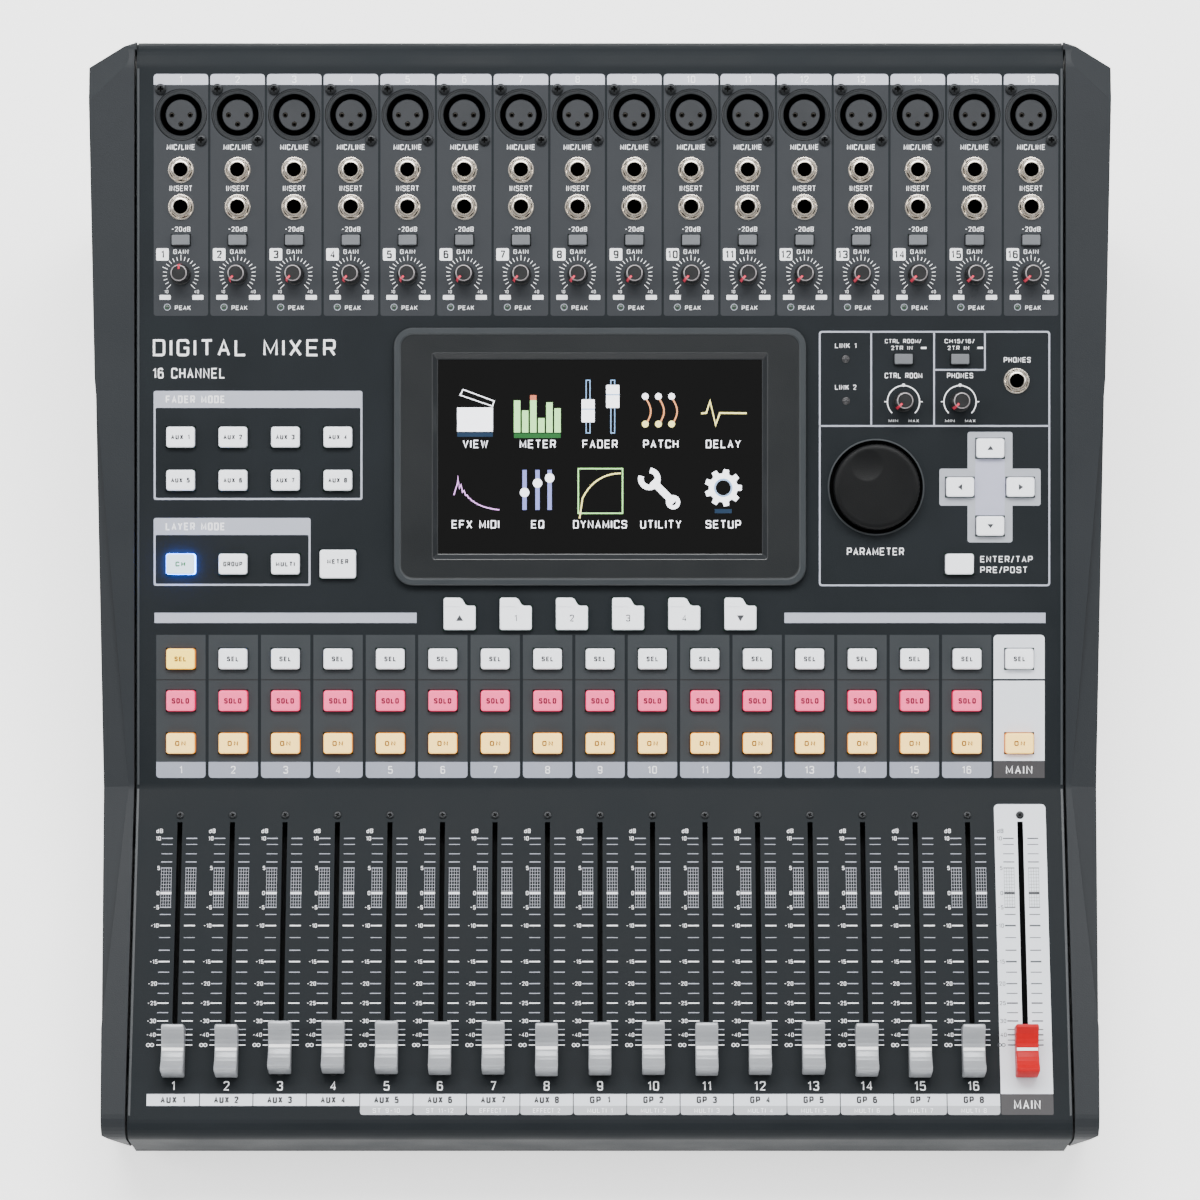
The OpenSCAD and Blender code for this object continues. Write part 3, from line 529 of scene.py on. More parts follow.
# input strips
for i in range(CHANNELS):
    x = inp(i)
    holes = [circle(x, XLR_V, 12.3), circle(x, LINE_V, 5.2), circle(x, INSERT_V, 5.2), circle(x, GAIN_V, 3.7),
             circle(x - PEAK_SIDE, PEAK_V, 1.25), rect(x - 4.7, PAD_V - 2.9, x + 4.7, PAD_V + 2.9)]
    fill(ink, [rect(x - 12.8, 221.6, x + 12.8, 335.4, 1.2)] + holes, STRIP, O, H1)
    fill(ink, [topped(x, 12.8, 325, 330.3, 335.4, 1.6, 331)], LIGHT, O, H2)
    write(ink, str(i + 1), O, 3.4, WHITE, x, 332.9, H3)
    for text, cap, dx, y, width, weight in (
            ("MIC/LINE", 2.6, 0, 301.0, 13.2, 0.14), ("INSERT", 2.6, 0, 281.6, 10.6, 0.12),
            ("-20dB", 2.3, 0, 262.4, 8.8, 0.14), ("GAIN", 2.1, 0, 251.8, 7.0, 0.14),
            ("PEAK", 2.1, 0.9, 225.4, 7.4, 0.14)):
        write(ink, text, O, cap, WHITE, x + dx, y, H2, width=width, weight=weight)
    fill(ink, [rect(x - 11.6, 247.6, x - 5.7, 253.4, 0.7)], WHITE, O, H2)
    write(ink, str(i + 1), O, 3.8, BTN_INK, x - 8.6, 250.5, H3, weight=0.2)
    for k in range(21):
        a = -135 + 13.5 * k
        r1 = 9.3 if k % 5 == 0 else 8.5
        s, c = sin(rad(a)), cos(rad(a))
        line(ink, x + 6.7 * s, GAIN_V + 6.7 * c, x + r1 * s, GAIN_V + r1 * c, 0.3, WHITE, O, H2)
    for side, label in ((-7.4, "10"), (8.0, "40")):
        fill(ink, [rect(x + side - 2.6, 229.2, x + side + 2.6, 231.4, 0.3)], WHITE, O, H2)
        write(ink, label, O, 1.5, WHITE, x + side * 0.92, 233.0, H2)

# name of the console, kept generic
write(ink, "DIGITAL MIXER", O, 8.0, WHITE, -210.4, 206.6, H2, align="l", width=86)
write(ink, "16 CHANNEL", O, 5.0, WHITE, -210.4, 194.6, H2, align="l", width=34)

# fader mode and layer mode boxes
for x0, x1, y0, y1, head, title in ((-210, -111.8, 135.0, 186.3, 178.3, "FADER MODE"),
                                    (-210, -136.2, 94.6, 126.5, 118.5, "LAYER MODE")):
    fill(ink, [rect(x0, y0, x1, y1, 1.0), rect(x0 + 0.9, y0 + 0.9, x1 - 0.9, head, 0.6)], TAB, O, H1)
    write(ink, title, O, 3.7, WHITE, x0 + 5.6, (head + y1) / 2, H2, align="l", width=28, weight=0.2)
for x0, x1 in ((-209.6, -86.3), (86.8, 209.6)):
    fill(ink, [rect(x0, 77.1, x1, 81.9)], TAB, O, H1)

# monitor section: its frame, the lines that divide it, and the scales of its two level knobs
left, low, right, high = 103.0, 94.4, 211.8, 214.5
divide, divide_2, wall = 169.8, 196.2, 0.8
fill(ink, [rect(left, low, right, high, 1.4), rect(left + wall, low + wall, right - wall, high - wall, 0.9)],
     TAB, O, H1)
for ends in ((left, divide, right, divide), (127.6, divide, 127.6, high), (157.2, divide, 157.2, high),
             (181.1, divide_2, 181.1, high), (157.2, divide_2, 181.1, divide_2)):
    line(ink, *ends, wall, TAB, O, H1)
for x, label, length in ((CTRL_U, "CTRL ROOM/", 17), (HEADPHONE_U, "CH15/16/", 14)):
    write(ink, label, O, 1.9, WHITE, x - 0.2, 209.7, H2, width=length)
    write(ink, "2TR IN", O, 1.9, WHITE, x - 0.8, 206.5, H2, width=10)
    line(ink, x + 8.2, 206.5, x + 10.8, 206.5, 0.9, WHITE, O, H2)
    path(ink, arc(x, LEVEL_V, 7.6, -135, 135), 0.55, WHITE, O, H2)
    for side in (-1, 1):
        line(ink, x + 7.4 * side, LEVEL_V, x + 9.0 * side, LEVEL_V, 0.5, WHITE, O, H2)
    fill(ink, [circle(x, 189.0, 0.8, 12)], WHITE, O, H2)
    write(ink, "MAX", O, 1.3, WHITE, x + 4.8, 172.2, H2, width=4.8)
    write(ink, "MIN", O, 1.3, WHITE, x - 4.8, 172.2, H2, width=4.4)
for text, cap, x, y, width, align in (
        ("CTRL ROOM", 2.5, CTRL_U, 193.5, 17.6, "c"), ("PHONES", 2.5, HEADPHONE_U, 193.5, 12.2, "c"),
        ("PHONES", 2.5, 196.3, 200.9, 12.6, "c"), ("PARAMETER", 3.6, 129.6, 110.7, 26.8, "c"),
        ("ENTER/TAP", 3.0, 178.9, 107.1, 24.6, "l"), ("PRE/POST", 3.0, 178.9, 102.1, 22.2, "l"),
        ("LINK 1", 2.3, 115.6, 207.6, 10, "c"), ("LINK 2", 2.3, 115.6, 188.0, 10, "c")):
    write(ink, text, O, cap, WHITE, x, y, H2, align=align, width=width)

# cursor plate, one printed cross with rounded outer corners
cx, cy = CURSOR_U, CURSOR_V
ARM_W, ARM_D, REACH_U, REACH_V = 10.55, 8.7, 23.8, 26
rounding = [(sin(rad(a)), cos(rad(a))) for a in (0, 45, 90)]
cross = []
for sx, sy in ((1, 1), (-1, 1), (-1, -1), (1, -1)):
    upper, outer = ([(cx + sx * (w - 1 + p), cy + sy * (d - 1 + q)) for p, q in rounding]
                    for w, d in ((ARM_W, REACH_V), (REACH_U, ARM_D)))
    quarter = upper + [(cx + ARM_W * sx, cy + ARM_D * sy)] + outer
    cross += quarter if sx != sy else quarter[::-1]
CURSOR_WAYS = ((1, 0), (-1, 0), (0, 1), (0, -1))
cur_holes = []
for dx, dy in CURSOR_WAYS:
    x, y = cx + dx * CURSOR_DU, cy + dy * CURSOR_DV
    cur_holes.append(rect(x - 7.0, y - 5.0, x + 7.0, y + 5.0))
fill(ink, [cross] + cur_holes, LILAC_EDGE, O, H1)
fill(ink, [rect(cx - 6.9, cy - 13.2, cx + 6.9, cy + 13.2, 0.4)], LILAC, O, H2)
for s in (-1, 1):
    fill(ink, [rect(cx + s * 7.05 - 0.15, cy - 4.9, cx + s * 7.05 + 0.15, cy + 4.9)], LILAC, O, H2)

# select, solo and on cells
for i in range(CHANNELS):
    x = col(i)
    holes = [button_hole(x, v) for v in (ON_V, SOLO_V, SEL_V)]
    fill(ink, [rect(x - 11.6, 11.7, x + 11.6, 71.5)] + holes, CELL, O, H1)
    line(ink, x - 11.6, 50.4, x + 11.6, 50.4, 0.55, LINE, O, H2)
    foot = [p for p in rect(x - 11.6, 4.2, x + 11.6, 20, 1.6) if p[1] < 9]
    fill(ink, [[(x + 11.6, 11.7), (x - 11.6, 11.7)] + foot], CELL_TAB, O, H2)
    write(ink, str(i + 1), O, 3.6, WHITE, x, 8.0, H3)
x = col(16)
fill(ink, [topped(x, 12, 40, 50.8, 71.5, 1.8, 60), button_hole(x, SEL_V)], PLATE, O, H1)
fill(ink, [rect(x - 12, 12.2, x + 12, 49.9), button_hole(x, ON_V)], PLATE, O, H1)
fill(ink, [rect(x - 12, 4.2, x + 12, 11.9)], DARK, O, H1)
write(ink, "MAIN", O, 3.9, WHITE, x, 8.0, H2, width=12.4)

# fader scales: distance down the deck, with the line's thickness or its number
TICKS = [(24.9, 0.45), (27.8, 0.3), (32.3, 0.3), (36.2, 0.4), (39.1, 0.35), (51.1, 1.0), (57.9, 0.4),
         (61.3, 0.35), (66.6, 0.6), (72.3, 0.3), (78.3, 0.4), (83.7, 0.6), (88.7, 0.35), (94.1, 0.45),
         (98.7, 0.35), (103.3, 0.55), (107.8, 0.35), (111.7, 0.5), (115.7, 0.35), (118.2, 0.5),
         (120.7, 0.35), (123.0, 0.5)]
NUMBERS = [(24.9, "10"), (39.1, "5"), (51.1, "0"), (57.9, "-5"), (66.6, "-10"), (83.7, "-15"),
           (94.1, "-20"), (103.3, "-25"), (111.7, "-30"), (118.2, "-40")]
for i in range(17):
    x, is_main = col(i), i == 16
    pale, thin = (GREYTEXT, GREYTEXT) if is_main else (WHITE, LIGHT)
    if is_main:
        holes = [rect(x - 1.35, -132.7, x + 1.35, -16.8), circle(x, -13.7, 1.3, 16)]
        fill(ink, [topped(x, 12.1, -30, -145.9, -8.4, 2.0, -20)] + holes, PLATE, F, H1)
    for w, t in TICKS:
        if is_main:
            tick, t = (ARROW if t > 0.9 else GREYTEXT), t * 1.2
        else:
            tick = WHITE if t >= 0.5 else TAB
        for s in (-1, 1):
            line(ink, x + s * 3.2, -w, x + s * 8.3, -w, t, tick, F, H2)
    # a fine grid on both sides, between the marks for 5 and -5
    for s in (-1, 1):
        for k in range(5):
            line(ink, x + s * (3.4 + k * 1.17), -39.1, x + s * (3.4 + k * 1.17), -57.9, 0.12, thin, F, H2)
        for k in range(1, 12):
            line(ink, x + s * 3.3, -39.1 - k * 1.57, x + s * 8.2, -39.1 - k * 1.57, 0.12, thin, F, H2 + 0.005)
    write(ink, "dB", F, 2.0, pale, x - 9.4, -21.3, H2)
    for w, s in NUMBERS:
        write(ink, s, F, 1.9, pale, x - 8.8, -w, H2, align="r")
    # the infinity sign, as two loops
    for s in (-1, 1):
        path(ink, [(x - 11.2 + s * 0.9 + 0.8 * cos(a), -123.0 + 0.75 * sin(a))
                   for a in [k * pi / 5 for k in range(10)]], 0.35, pale, F, H2, closed=True)
    if not is_main:
        write(ink, str(i + 1), F, 4.4, WHITE, x, -142.1, H2)
        x0, x1 = x - 12.1, x + 12.1
        fill(ink, [rect(x0, -151.4, x1, -145.9)], PLATE, F, H1)
        write(ink, f"AUX {i + 1}" if i < 8 else f"GP {i - 7}", F, 3.2, BTN_INK, x, -148.6, H2,
              width=11.4 if i < 8 else 9.4, weight=0.24)
        if i >= 4:
            low = [p for p in rect(x0, -155.6, x1, -140, 1.3) if p[1] < -150]
            fill(ink, [[(x1, -151.4), (x0, -151.4)] + low], BOX_GREY, F, H1)
            label = {4: "ST 9-10", 5: "ST 11-12", 6: "EFFECT 1", 7: "EFFECT 2"}.get(i, f"MULTI {i - 7}")
            write(ink, label, F, 2.1, WHITE, x, -153.6, H2, width=12.6 if i < 8 else 11.6)
    else:
        fill(ink, [rect(x - 12.1, -155.6, x + 12.1, -145.9, 0.8)], DARK, F, H1)
        write(ink, "MAIN", F, 4.4, WHITE, x, -150.8, H2, width=12.2)
ink.make(slot="panel_paint")

# a thin turned lip along each side of the panel, in a lighter grey: a painted highlight along the edge
lip = Part("panel_edge_lips")
for s in (-1, 1):
    for at, y0, y1 in ((O, 1, 338), (F, -156, -1)):
        xs = (s * (BODY_W / 2 - 1.3), s * (BODY_W / 2 - 0.3))
        lip.add([(xs[0], y0, 0.04), (xs[1], y0, 0.3), (xs[1], y1, 0.3), (xs[0], y1, 0.04)],
                [[0, 1, 2, 3] if s > 0 else [3, 2, 1, 0]], EDGE_LIP_HIGHLIGHT, at)
lip.make(slot="panel_paint")


# ---- buttons
# the plain look: a top with a painted glow and a side in a darker copy of its white, painted shade
PLAIN = (BTN, BTN_SIDE_PAINTED_SHADE, BTN_INK)


def button(part, at, look=PLAIN, text="", cap=2.3, width=None, y=0.0, w=BTN_W, d=BTN_D):
    """A rounded button. Its look is the materials of the top, the sides and the lettering."""
    (top, side, ink_mat), r, h = look, 1.3, BTN_H
    rings = [ring_rect(w - 0.1, d - 0.1, -3.9, r), ring_rect(w - 0.1, d - 0.1, h - 0.85, r),
             ring_rect(w - 0.35, d - 0.35, h - 0.45, r), ring_rect(w - 1.0, d - 1.0, h - 0.12, r - 0.2),
             ring_rect(w - 1.8, d - 1.8, h - 0.02, r - 0.4)]
    loft(part, rings, at, side, (False, True), [side, side, top, top])
    if text:
        write(part, text, at, cap, ink_mat, y=y, h=LABEL_H, width=width, weight=0.24)


sel = Part("select_buttons", "sel_buttons", 50)
for i in range(CHANNELS + 1):
    button(sel, main(col(i), SEL_V), (GOLD, AMBER_SIDE, AMBER_INK) if i == 0 else PLAIN, "SEL", 2.3, 5.6)
sel.make("sel_buttons", slot="button_white")
solo = Part("solo_buttons_lit", "solo_buttons", 50)
for i in range(CHANNELS):
    button(solo, main(col(i), SOLO_V), (PINK, PINK_SIDE, PINK_INK), "SOLO", 2.6, 8.2)
solo.make("solo_buttons", slot="button_pink")
on = Part("on_buttons_lit", "on_buttons", 50)
for i in range(CHANNELS + 1):
    button(on, main(col(i), ON_V), (AMBER, AMBER_SIDE, AMBER_INK), "ON", 2.4, 5.0)
on.make("on_buttons", slot="button_amber")
mode = Part("mode_buttons_caps", "mode_buttons", 50)
for i in range(4):
    for row, v in enumerate(MODE_ROWS):
        button(mode, main(col(i), v), PLAIN, f"AUX {i + 1 + 4 * row}", 2.3, 8.8)
for i, (text, width) in enumerate((("CH", 4.6), ("GROUP", 9.0), ("MULTI", 9.0))):
    button(mode, main(col(i), LAYER_V), (BLUE, BLUE_SIDE, BLUE_INK) if i == 0 else PLAIN, text, 2.3, width)
button(mode, main(col(3), LAYER_V), PLAIN, "METER", 2.3, 10, 1.2, 17.2, 13.6)
mode.make("mode_buttons", slot="button_white")


def page_ring(inset, z):
    """A folder-shaped outline: a box of half size w by d, with a tab on the left of its upper edge."""
    w, d, e = 7.6 - inset, 7.7 - inset, 0.7
    notch, tab = d - 3.8, 0.6 - inset * 0.4
    return [(-w + e, -d, z), (w - e, -d, z), (w, -d + e, z), (w, notch - e, z), (w - e, notch, z),
            (tab + 3.4, notch, z), (tab + 2.2, notch + 0.5, z), (tab + 0.6, d - 0.6, z), (tab - 0.6, d, z),
            (-w + e, d, z), (-w, d - e, z), (-w, -d + e, z)]


pages = Part("page_buttons_caps", "page_buttons", 50)
for i in range(6):
    at, top = main((i - 2.5) * 26.4, PAGE_V), 2.78
    rings = [page_ring(0.05, -3.9), page_ring(0.05, 1.95), page_ring(0.2, 2.35), page_ring(0.5, 2.68),
             page_ring(0.9, top)]
    # the sides take the darker copy of the white, painted shade, and the top the glowing white, a painted
    # highlight
    loft(pages, rings, at, BTN_SIDE_PAINTED_SHADE, (False, False), [BTN_SIDE_PAINTED_SHADE, BTN_SIDE_PAINTED_SHADE, BTN, BTN])
    pages.add(*flat([[p[:2] for p in rings[-1]]], top), BTN, at)
    if 0 < i < 5:
        write(pages, str(i), at, 3.2, BTN_INK, y=-2.0, h=LABEL_H)
    else:
        s = 1 if i == 0 else -1
        foot, tip = -2 - s * 1.3, -2 + s * 1.5
        pages.add([(-1.7, foot, LABEL_H), (1.7, foot, LABEL_H), (0, tip, LABEL_H)],
                  [[0, 1, 2] if s > 0 else [0, 2, 1]], ARROW, at)
    path(pages, [(-7.0, 3.3), (-0.1, 3.3)], 0.2, LIGHT, at, top + 0.04)
pages.make("page_buttons", slot="button_white")
cursor = Part("cursor_buttons_caps", "cursor_buttons", 50)
for dx, dy in CURSOR_WAYS:
    at = main(CURSOR_U + dx * CURSOR_DU, CURSOR_V + dy * CURSOR_DV)
    button(cursor, at, w=13.4, d=9.4)
    foot = [(-1.5 * s * dy - 0.9 * dx, 1.5 * s * dx - 0.9 * dy, LABEL_H) for s in (1, -1)]
    cursor.add(foot + [(1.2 * dx, 1.2 * dy, LABEL_H)], [[0, 1, 2]], ARROW, at)
cursor.make("cursor_buttons", slot="button_white")
enter = Part("enter_button_cap", "enter_button", 50)
button(enter, main(169, LAYER_V))
enter.make("enter_button", slot="button_white")
push = Part("pad_and_source_switches", "push_switches", 50)
for u, v in [(inp(i), PAD_V) for i in range(CHANNELS)] + [(CTRL_U, SOURCE_V), (HEADPHONE_U, SOURCE_V)]:
    at = main(u, v)
    rings = [ring_rect(8.5 - cut, 4.9 - cut, z, r, 3)
             for cut, z, r in ((0, -5.5, 0.5), (0, 1.9, 0.5), (0.3, 2.25, 0.5), (0.8, 2.38, 0.4))]
    loft(push, rings, at, PUSH, (False, True))
    box_mm(push, 3, 3, -11, -5.5, at, STEM)
push.make("push_switches", slot="switch_grey")

# ---- connectors
xlr = Part("three_pole_sockets", angle=40)
scr = Part("screw_heads", angle=35)


def shifted(at, dx, dy):
    return lambda p: at((p[0] + dx, p[1] + dy, p[2]))


def cross_screw(at, r, h):
    """A domed pan head with a cross recess."""
    foot, flat_r = 0.2, r * 0.62
    top = foot + h
    prof = [(r, foot), (r, foot + h * 0.45), (r * 0.93, foot + h * 0.75), (r * 0.75, foot + h * 0.95),
            (flat_r, top)]
    lathe(scr, prof, at, SCREW, 24)
    q, arm = r * 0.16, r * 0.52
    star = [(q, q), (q, arm), (-q, arm), (-q, q), (-arm, q), (-arm, -q), (-q, -q), (-q, -arm), (q, -arm),
            (q, -q), (arm, -q), (arm, q)]
    scr.add(*flat([circle(0, 0, flat_r, 24), star[::-1]], top), SCREW, at)
    # the recess is in the near-black bore colour: painted shade in the cross
    recess = [[(x, y, top) for x, y in star], [(x * 0.8, y * 0.8, foot + h * 0.25) for x, y in star]]
    loft(scr, recess, at, BORE_BLACK_AND_SHADE, (False, True))
    lathe(scr, [(0, -3.5), (0.9, -3.5), (0.9, 0.25)], at, SCREW, 10)


def xlr_socket(at):
    """A three-pole socket: flange ring, groove for the plug's shell, and an insert with three contacts."""
    n, floor_z, core_r, pin_r = 56, -15.9, 7.3, 1.25
    ring = [(12.0, -1.4), (12.0, 0.0), (11.7, 0.2), (11.45, 0.2), (11.2, -0.15), (10.6, -0.15), (10.3, 0.1),
            (10.05, 0.1), (XLR_R, -0.3), (XLR_R, floor_z)]
    # the groove's inner wall and floor, the insert's side and the pin holes take the near-black bore colour:
    # painted shade in these hollows
    lathe(xlr, ring, at, RING, n, [RING] * 8 + [BORE_BLACK_AND_SHADE])
    lathe(xlr, [(XLR_R, floor_z), (core_r, floor_z)], at, BORE_BLACK_AND_SHADE, n)
    lathe(xlr, [(core_r, floor_z), (core_r, -1.0), (7.0, -0.6)], at, INSERT, n, [BORE_BLACK_AND_SHADE, INSERT])
    pins = ((-4.3, 0), (4.3, 0), (0, -4.3))
    xlr.add(*flat([circle(0, 0, 7.0, n)] + [circle(a, b, pin_r, 20) for a, b in pins], -0.6), INSERT, at)
    for a, b in pins:
        pin_at = shifted(at, a, b)
        lathe(xlr, [(pin_r, -0.6), (pin_r, -6), (0, -6)], pin_at, BORE_BLACK_AND_SHADE, 20)
        lathe(xlr, [(1.0, -3.0), (1.0, -0.95), (0.72, -0.9), (0.7, -4.0)], pin_at, CONTACT, 16)
    flange(xlr, 24.6, 30.2, XLR_R, -3.7, -1.8, at, SOCKET)
    lathe(xlr, [(0, -19.9), (12, -19.9), (12, -3.7)], at, SOCKET, n)
    for s in (-1, 1):
        cross_screw(shifted(at, -s * 9.5, s * 12), 2.6, 1.3)


for i in range(CHANNELS):
    xlr_socket(main(inp(i), XLR_V))
for x in REAR_XLR:
    xlr_socket(rear(x, REAR_SOCKET_Z))
xlr.make("xlr_sockets", slot="socket_plastic")

jack = Part("quarter_inch_sockets", angle=30)


def jack_socket(at):
    """A quarter-inch socket: washer, hexagon nut, bush, bore and a spring contact."""
    lathe(jack, [(6.15, 0.02), (6.15, 0.3), (5.95, 0.55), (5.55, 0.62), (5.3, 0.4)], at, NICKEL, 48)
    n = 72

    def hexagon(r, z, most):
        return ring_round(lambda j: min(most, r / cos(rad((360 * j / n) % 60 - 30))), z, n)
    nut = [hexagon(4.85, 0.4, 5.5), hexagon(4.85, 1.5, 5.5), hexagon(4.8, 1.95, 5.0), ring_round(4.55, 2.0, n),
           ring_round(4.3, 1.75, n)]
    loft(jack, nut, at, NICKEL, (False, False))
    lathe(jack, [(4.3, 1.7), (4.3, 2.55), (4.05, 2.9), (3.75, 3.0), (3.4, 2.7), (JACK_R, 2.1), (JACK_R, 1.4)],
          at, NICKEL, 48)
    # the bore is near-black: partly the socket's black plastic, partly painted shade down the hole
    lathe(jack, [(JACK_R, 1.4), (JACK_R, -19.8), (0, -19.8)], at, BORE_BLACK_AND_SHADE, 32)
    spring = [(-0.5, 2.3, -1.5), (0.5, 2.3, -1.5), (0.5, 3.1, -4), (-0.5, 3.1, -4)]
    jack.add(spring, [[0, 1, 2, 3]], CONTACT, at)
    flange(jack, 15, 15.6, JACK_R, -21.9, -1.8, at, SOCKET)


for i in range(CHANNELS):
    jack_socket(main(inp(i), LINE_V, 37 * i))
    jack_socket(main(inp(i), INSERT_V, 53 * i + 20))
jack_socket(main(PHONES_U, PHONES_V, 10))
for x in REAR_JACKS:
    jack_socket(rear(x, REAR_SOCKET_Z))
jack.make("jack_sockets", slot="nut_plating")

for i in range(CHANNELS + 1):
    for w in (13.7, 135.5):
        cross_screw(fad(col(i), w, 20 * i), 1.85, 0.42)
# cheek screws, seen from inside the side walls
for s in (-1, 1):
    for y, z in ((-DEPTH / 2 + 40, 34), (-DEPTH / 2 + 150, 34), (DEPTH / 2 - 150, 60), (DEPTH / 2 - 40, 110)):
        def wall_at(p, s=s, y=y, z=z):
            return Vector((s * (BODY_W / 2 - 1 - SHEET - p[2]), y + p[0], z + s * p[1])) * 0.001
        cross_screw(wall_at, 2.7, 1.3)
scr.make("screws", slot="screw_black")

# ---- display
bez = Part("display_bezel_moulding", angle=40)
D = main(0, 155.3)      # the middle of the display
# width, depth, height and corner radius of each ring, from the outside in
BEZEL_RINGS = [(194, 121.5, 0.2, 9), (194, 121.5, 2.7, 9), (193.5, 121, 3.25, 8.8), (192.4, 119.9, 3.62, 8.3),
               (188.6, 116.1, 3.66, 6.6), (187.2, 114.7, 3.2, 6.0), (186.4, 113.9, 3.0, 5.6),
               (158.6, 97.8, 2.95, 1.6), (157.9, 97.1, 3.05, 1.4), (157.2, 96.4, 2.9, 1.2),
               (153.4, 92.2, 0.9, 0.5), (152.4, 91.4, 0.75, 0.3), (152.4, 91.4, 0.02, 0.3)]
# the raised rim's bands take the lighter grey, a painted highlight; the rest keeps the moulding's colour
loft(bez, [ring_rect(w, d, z, r, 8) for w, d, z, r in BEZEL_RINGS], D, BEZEL, (False, False),
     [BEZEL, BEZEL, RAISED_RIM_HIGHLIGHT, RAISED_RIM_HIGHLIGHT, RAISED_RIM_HIGHLIGHT, BEZEL, BEZEL, BEZEL, FRAME, FRAME, FRAME, SOCKET])
bez.make("display_bezel", slot="bezel_moulding")

pic = Part("display_picture")
COLS = (-58.6, -29.3, 0, 28.6, 58.0)
for y, words in ((6.0, ("VIEW", "METER", "FADER", "PATCH", "DELAY")),
                 (-31.8, ("EFX MIDI", "EQ", "DYNAMICS", "UTILITY", "SETUP"))):
    for x, s in zip(COLS, words):
        write(pic, s, D, 3.9, S_WHITE, x, y, 0.08)
# view: an open tray and its lid
x = COLS[0]
fill(pic, [rect(x - 8.6, 11.8, x + 8.2, 23.2)], S_WHITE, D, 0.08)
path(pic, [(x - 7.2, 29.0), (x - 5.8, 31.6), (x + 8.8, 26.2), (x + 8.0, 23.8)], 0.5, S_WHITE, D, 0.08, True)
fill(pic, [rect(x - 8.6, 9.4, x + 8.2, 11.4)], S_DIM, D, 0.06)
# meter: six bars
x = COLS[1]
for a, b in ((-11.2, 26.5), (-7.4, 21.8), (-3.6, 28.6), (0.2, 18.2), (4.0, 25.6), (7.8, 22.8)):
    fill(pic, [rect(x + a, 11.4, x + a + 3.0, b)], S_GREEN, D, 0.08)
fill(pic, [rect(x - 3.6, 26.6, x - 0.6, 29.0)], S_RED, D, 0.10)
fill(pic, [rect(x - 11.2, 8.8, x + 10.8, 11.0)], S_GREEN_DIM, D, 0.06)
# fader: two sliders
for a, b in ((-5.6, 21.6), (6.0, 28.4)):
    path(pic, rect(a - 0.9, 11.2, a + 0.9, 36.0), 0.45, S_BLUE, D, 0.08, closed=True)
    fill(pic, [rect(a - 3.1, b - 5.4, a + 3.1, b + 5.4, 0.5)], S_WHITE, D, 0.10)
    line(pic, a - 3.1, b + 0.8, a + 3.1, b + 0.8, 0.5, S_BLUE, D, 0.12)
# patch: three leads
for k in range(3):
    a = COLS[3] - 7.4 + 6.2 * k
    path(pic, [(a + 2.4 * sin(pi * t / 12) + 0.3, 27.6 - 12.4 * t / 12) for t in range(13)],
         0.75, S_ORANGE, D, 0.08)
    for y, mat in ((28.4, S_WHITE), (15.4, S_YELLOW)):
        fill(pic, [circle(a + 0.1, y, 1.6, 20)], mat, D, 0.10)
# delay: a pulse
x = COLS[4]
pulse = [(-10.4, 20.4), (-8.0, 20.6), (-6.2, 26.2), (-3.6, 15.0), (-1.6, 20.6), (11, 20.5)]
path(pic, [(x + dx, y) for dx, y in pulse], 0.8, S_YELLOW, D, 0.08)
# effects: a decaying ring
x = COLS[0]
ripple = [(x - 10.4 + t * 0.72, -6.2 - 19.5 * (1 - exp(-t * 0.11)) + (6.0 if t % 2 else -6.0) * exp(-t * 0.3))
          for t in range(3, 31)]
path(pic, [(x - 10.2, -18), (x - 8.4, -12.4)] + ripple, 0.55, S_PINK, D, 0.08)
# equaliser: three sliders
for a, b in ((-6.2, -16.8), (-0.1, -12.4), (5.6, -10.0)):
    line(pic, COLS[1] + a, -25.0, COLS[1] + a, -6.2, 2.0, S_VIOLET, D, 0.08)
    fill(pic, [circle(COLS[1] + a, b, 2.2, 24)], S_WHITE, D, 0.10)
# dynamics: a curve in a frame
path(pic, rect(-10.2, -26.6, 10.6, -5.6), 0.6, S_GREEN, D, 0.08, closed=True)
curve = [(-9.6 + 19.4 * t / 14, -24.6 + 16.8 * sin(pi / 2 * (t / 14) ** 0.62)) for t in range(1, 15)]
path(pic, [(-9.6, -29.0)] + curve, 0.7, S_YELLOW, D, 0.10)
# utility: a spanner, with its handle, open jaw and ring end
x = COLS[3] - 0.4
line(pic, x - 3.6, -11.4, x + 6.6, -21.6, 3.4, S_WHITE, D, 0.08)
jaw = [(x - 5.0 + 4.0 * cos(rad(q)), -10.4 + 4.0 * sin(rad(q))) for q in range(-200, 86, 15)]
path(pic, jaw, 2.6, S_WHITE, D, 0.09)
path(pic, circle(x + 6.2, -21.4, 2.4, 18), 1.9, S_WHITE, D, 0.09, closed=True)
# setup: a cog wheel
x = COLS[4]
cog = []
for k in range(9):
    for da, r in ((-13, 6.8), (-8, 8.8), (8, 8.8), (13, 6.8)):
        a = rad(40 * k + da)
        cog.append((x + r * cos(a), -14.6 + r * sin(a)))
fill(pic, [cog, circle(x, -14.6, 3.6, 28)[::-1]], S_WHITE, D, 0.08)
path(pic, circle(x, -14.6, 4.0, 28), 0.7, S_BLUE, D, 0.10, closed=True)
fill(pic, [rect(x - 4, -26.6, x + 4, -24.6)], S_DIM, D, 0.06)
pic.make(slot="screen_glass")

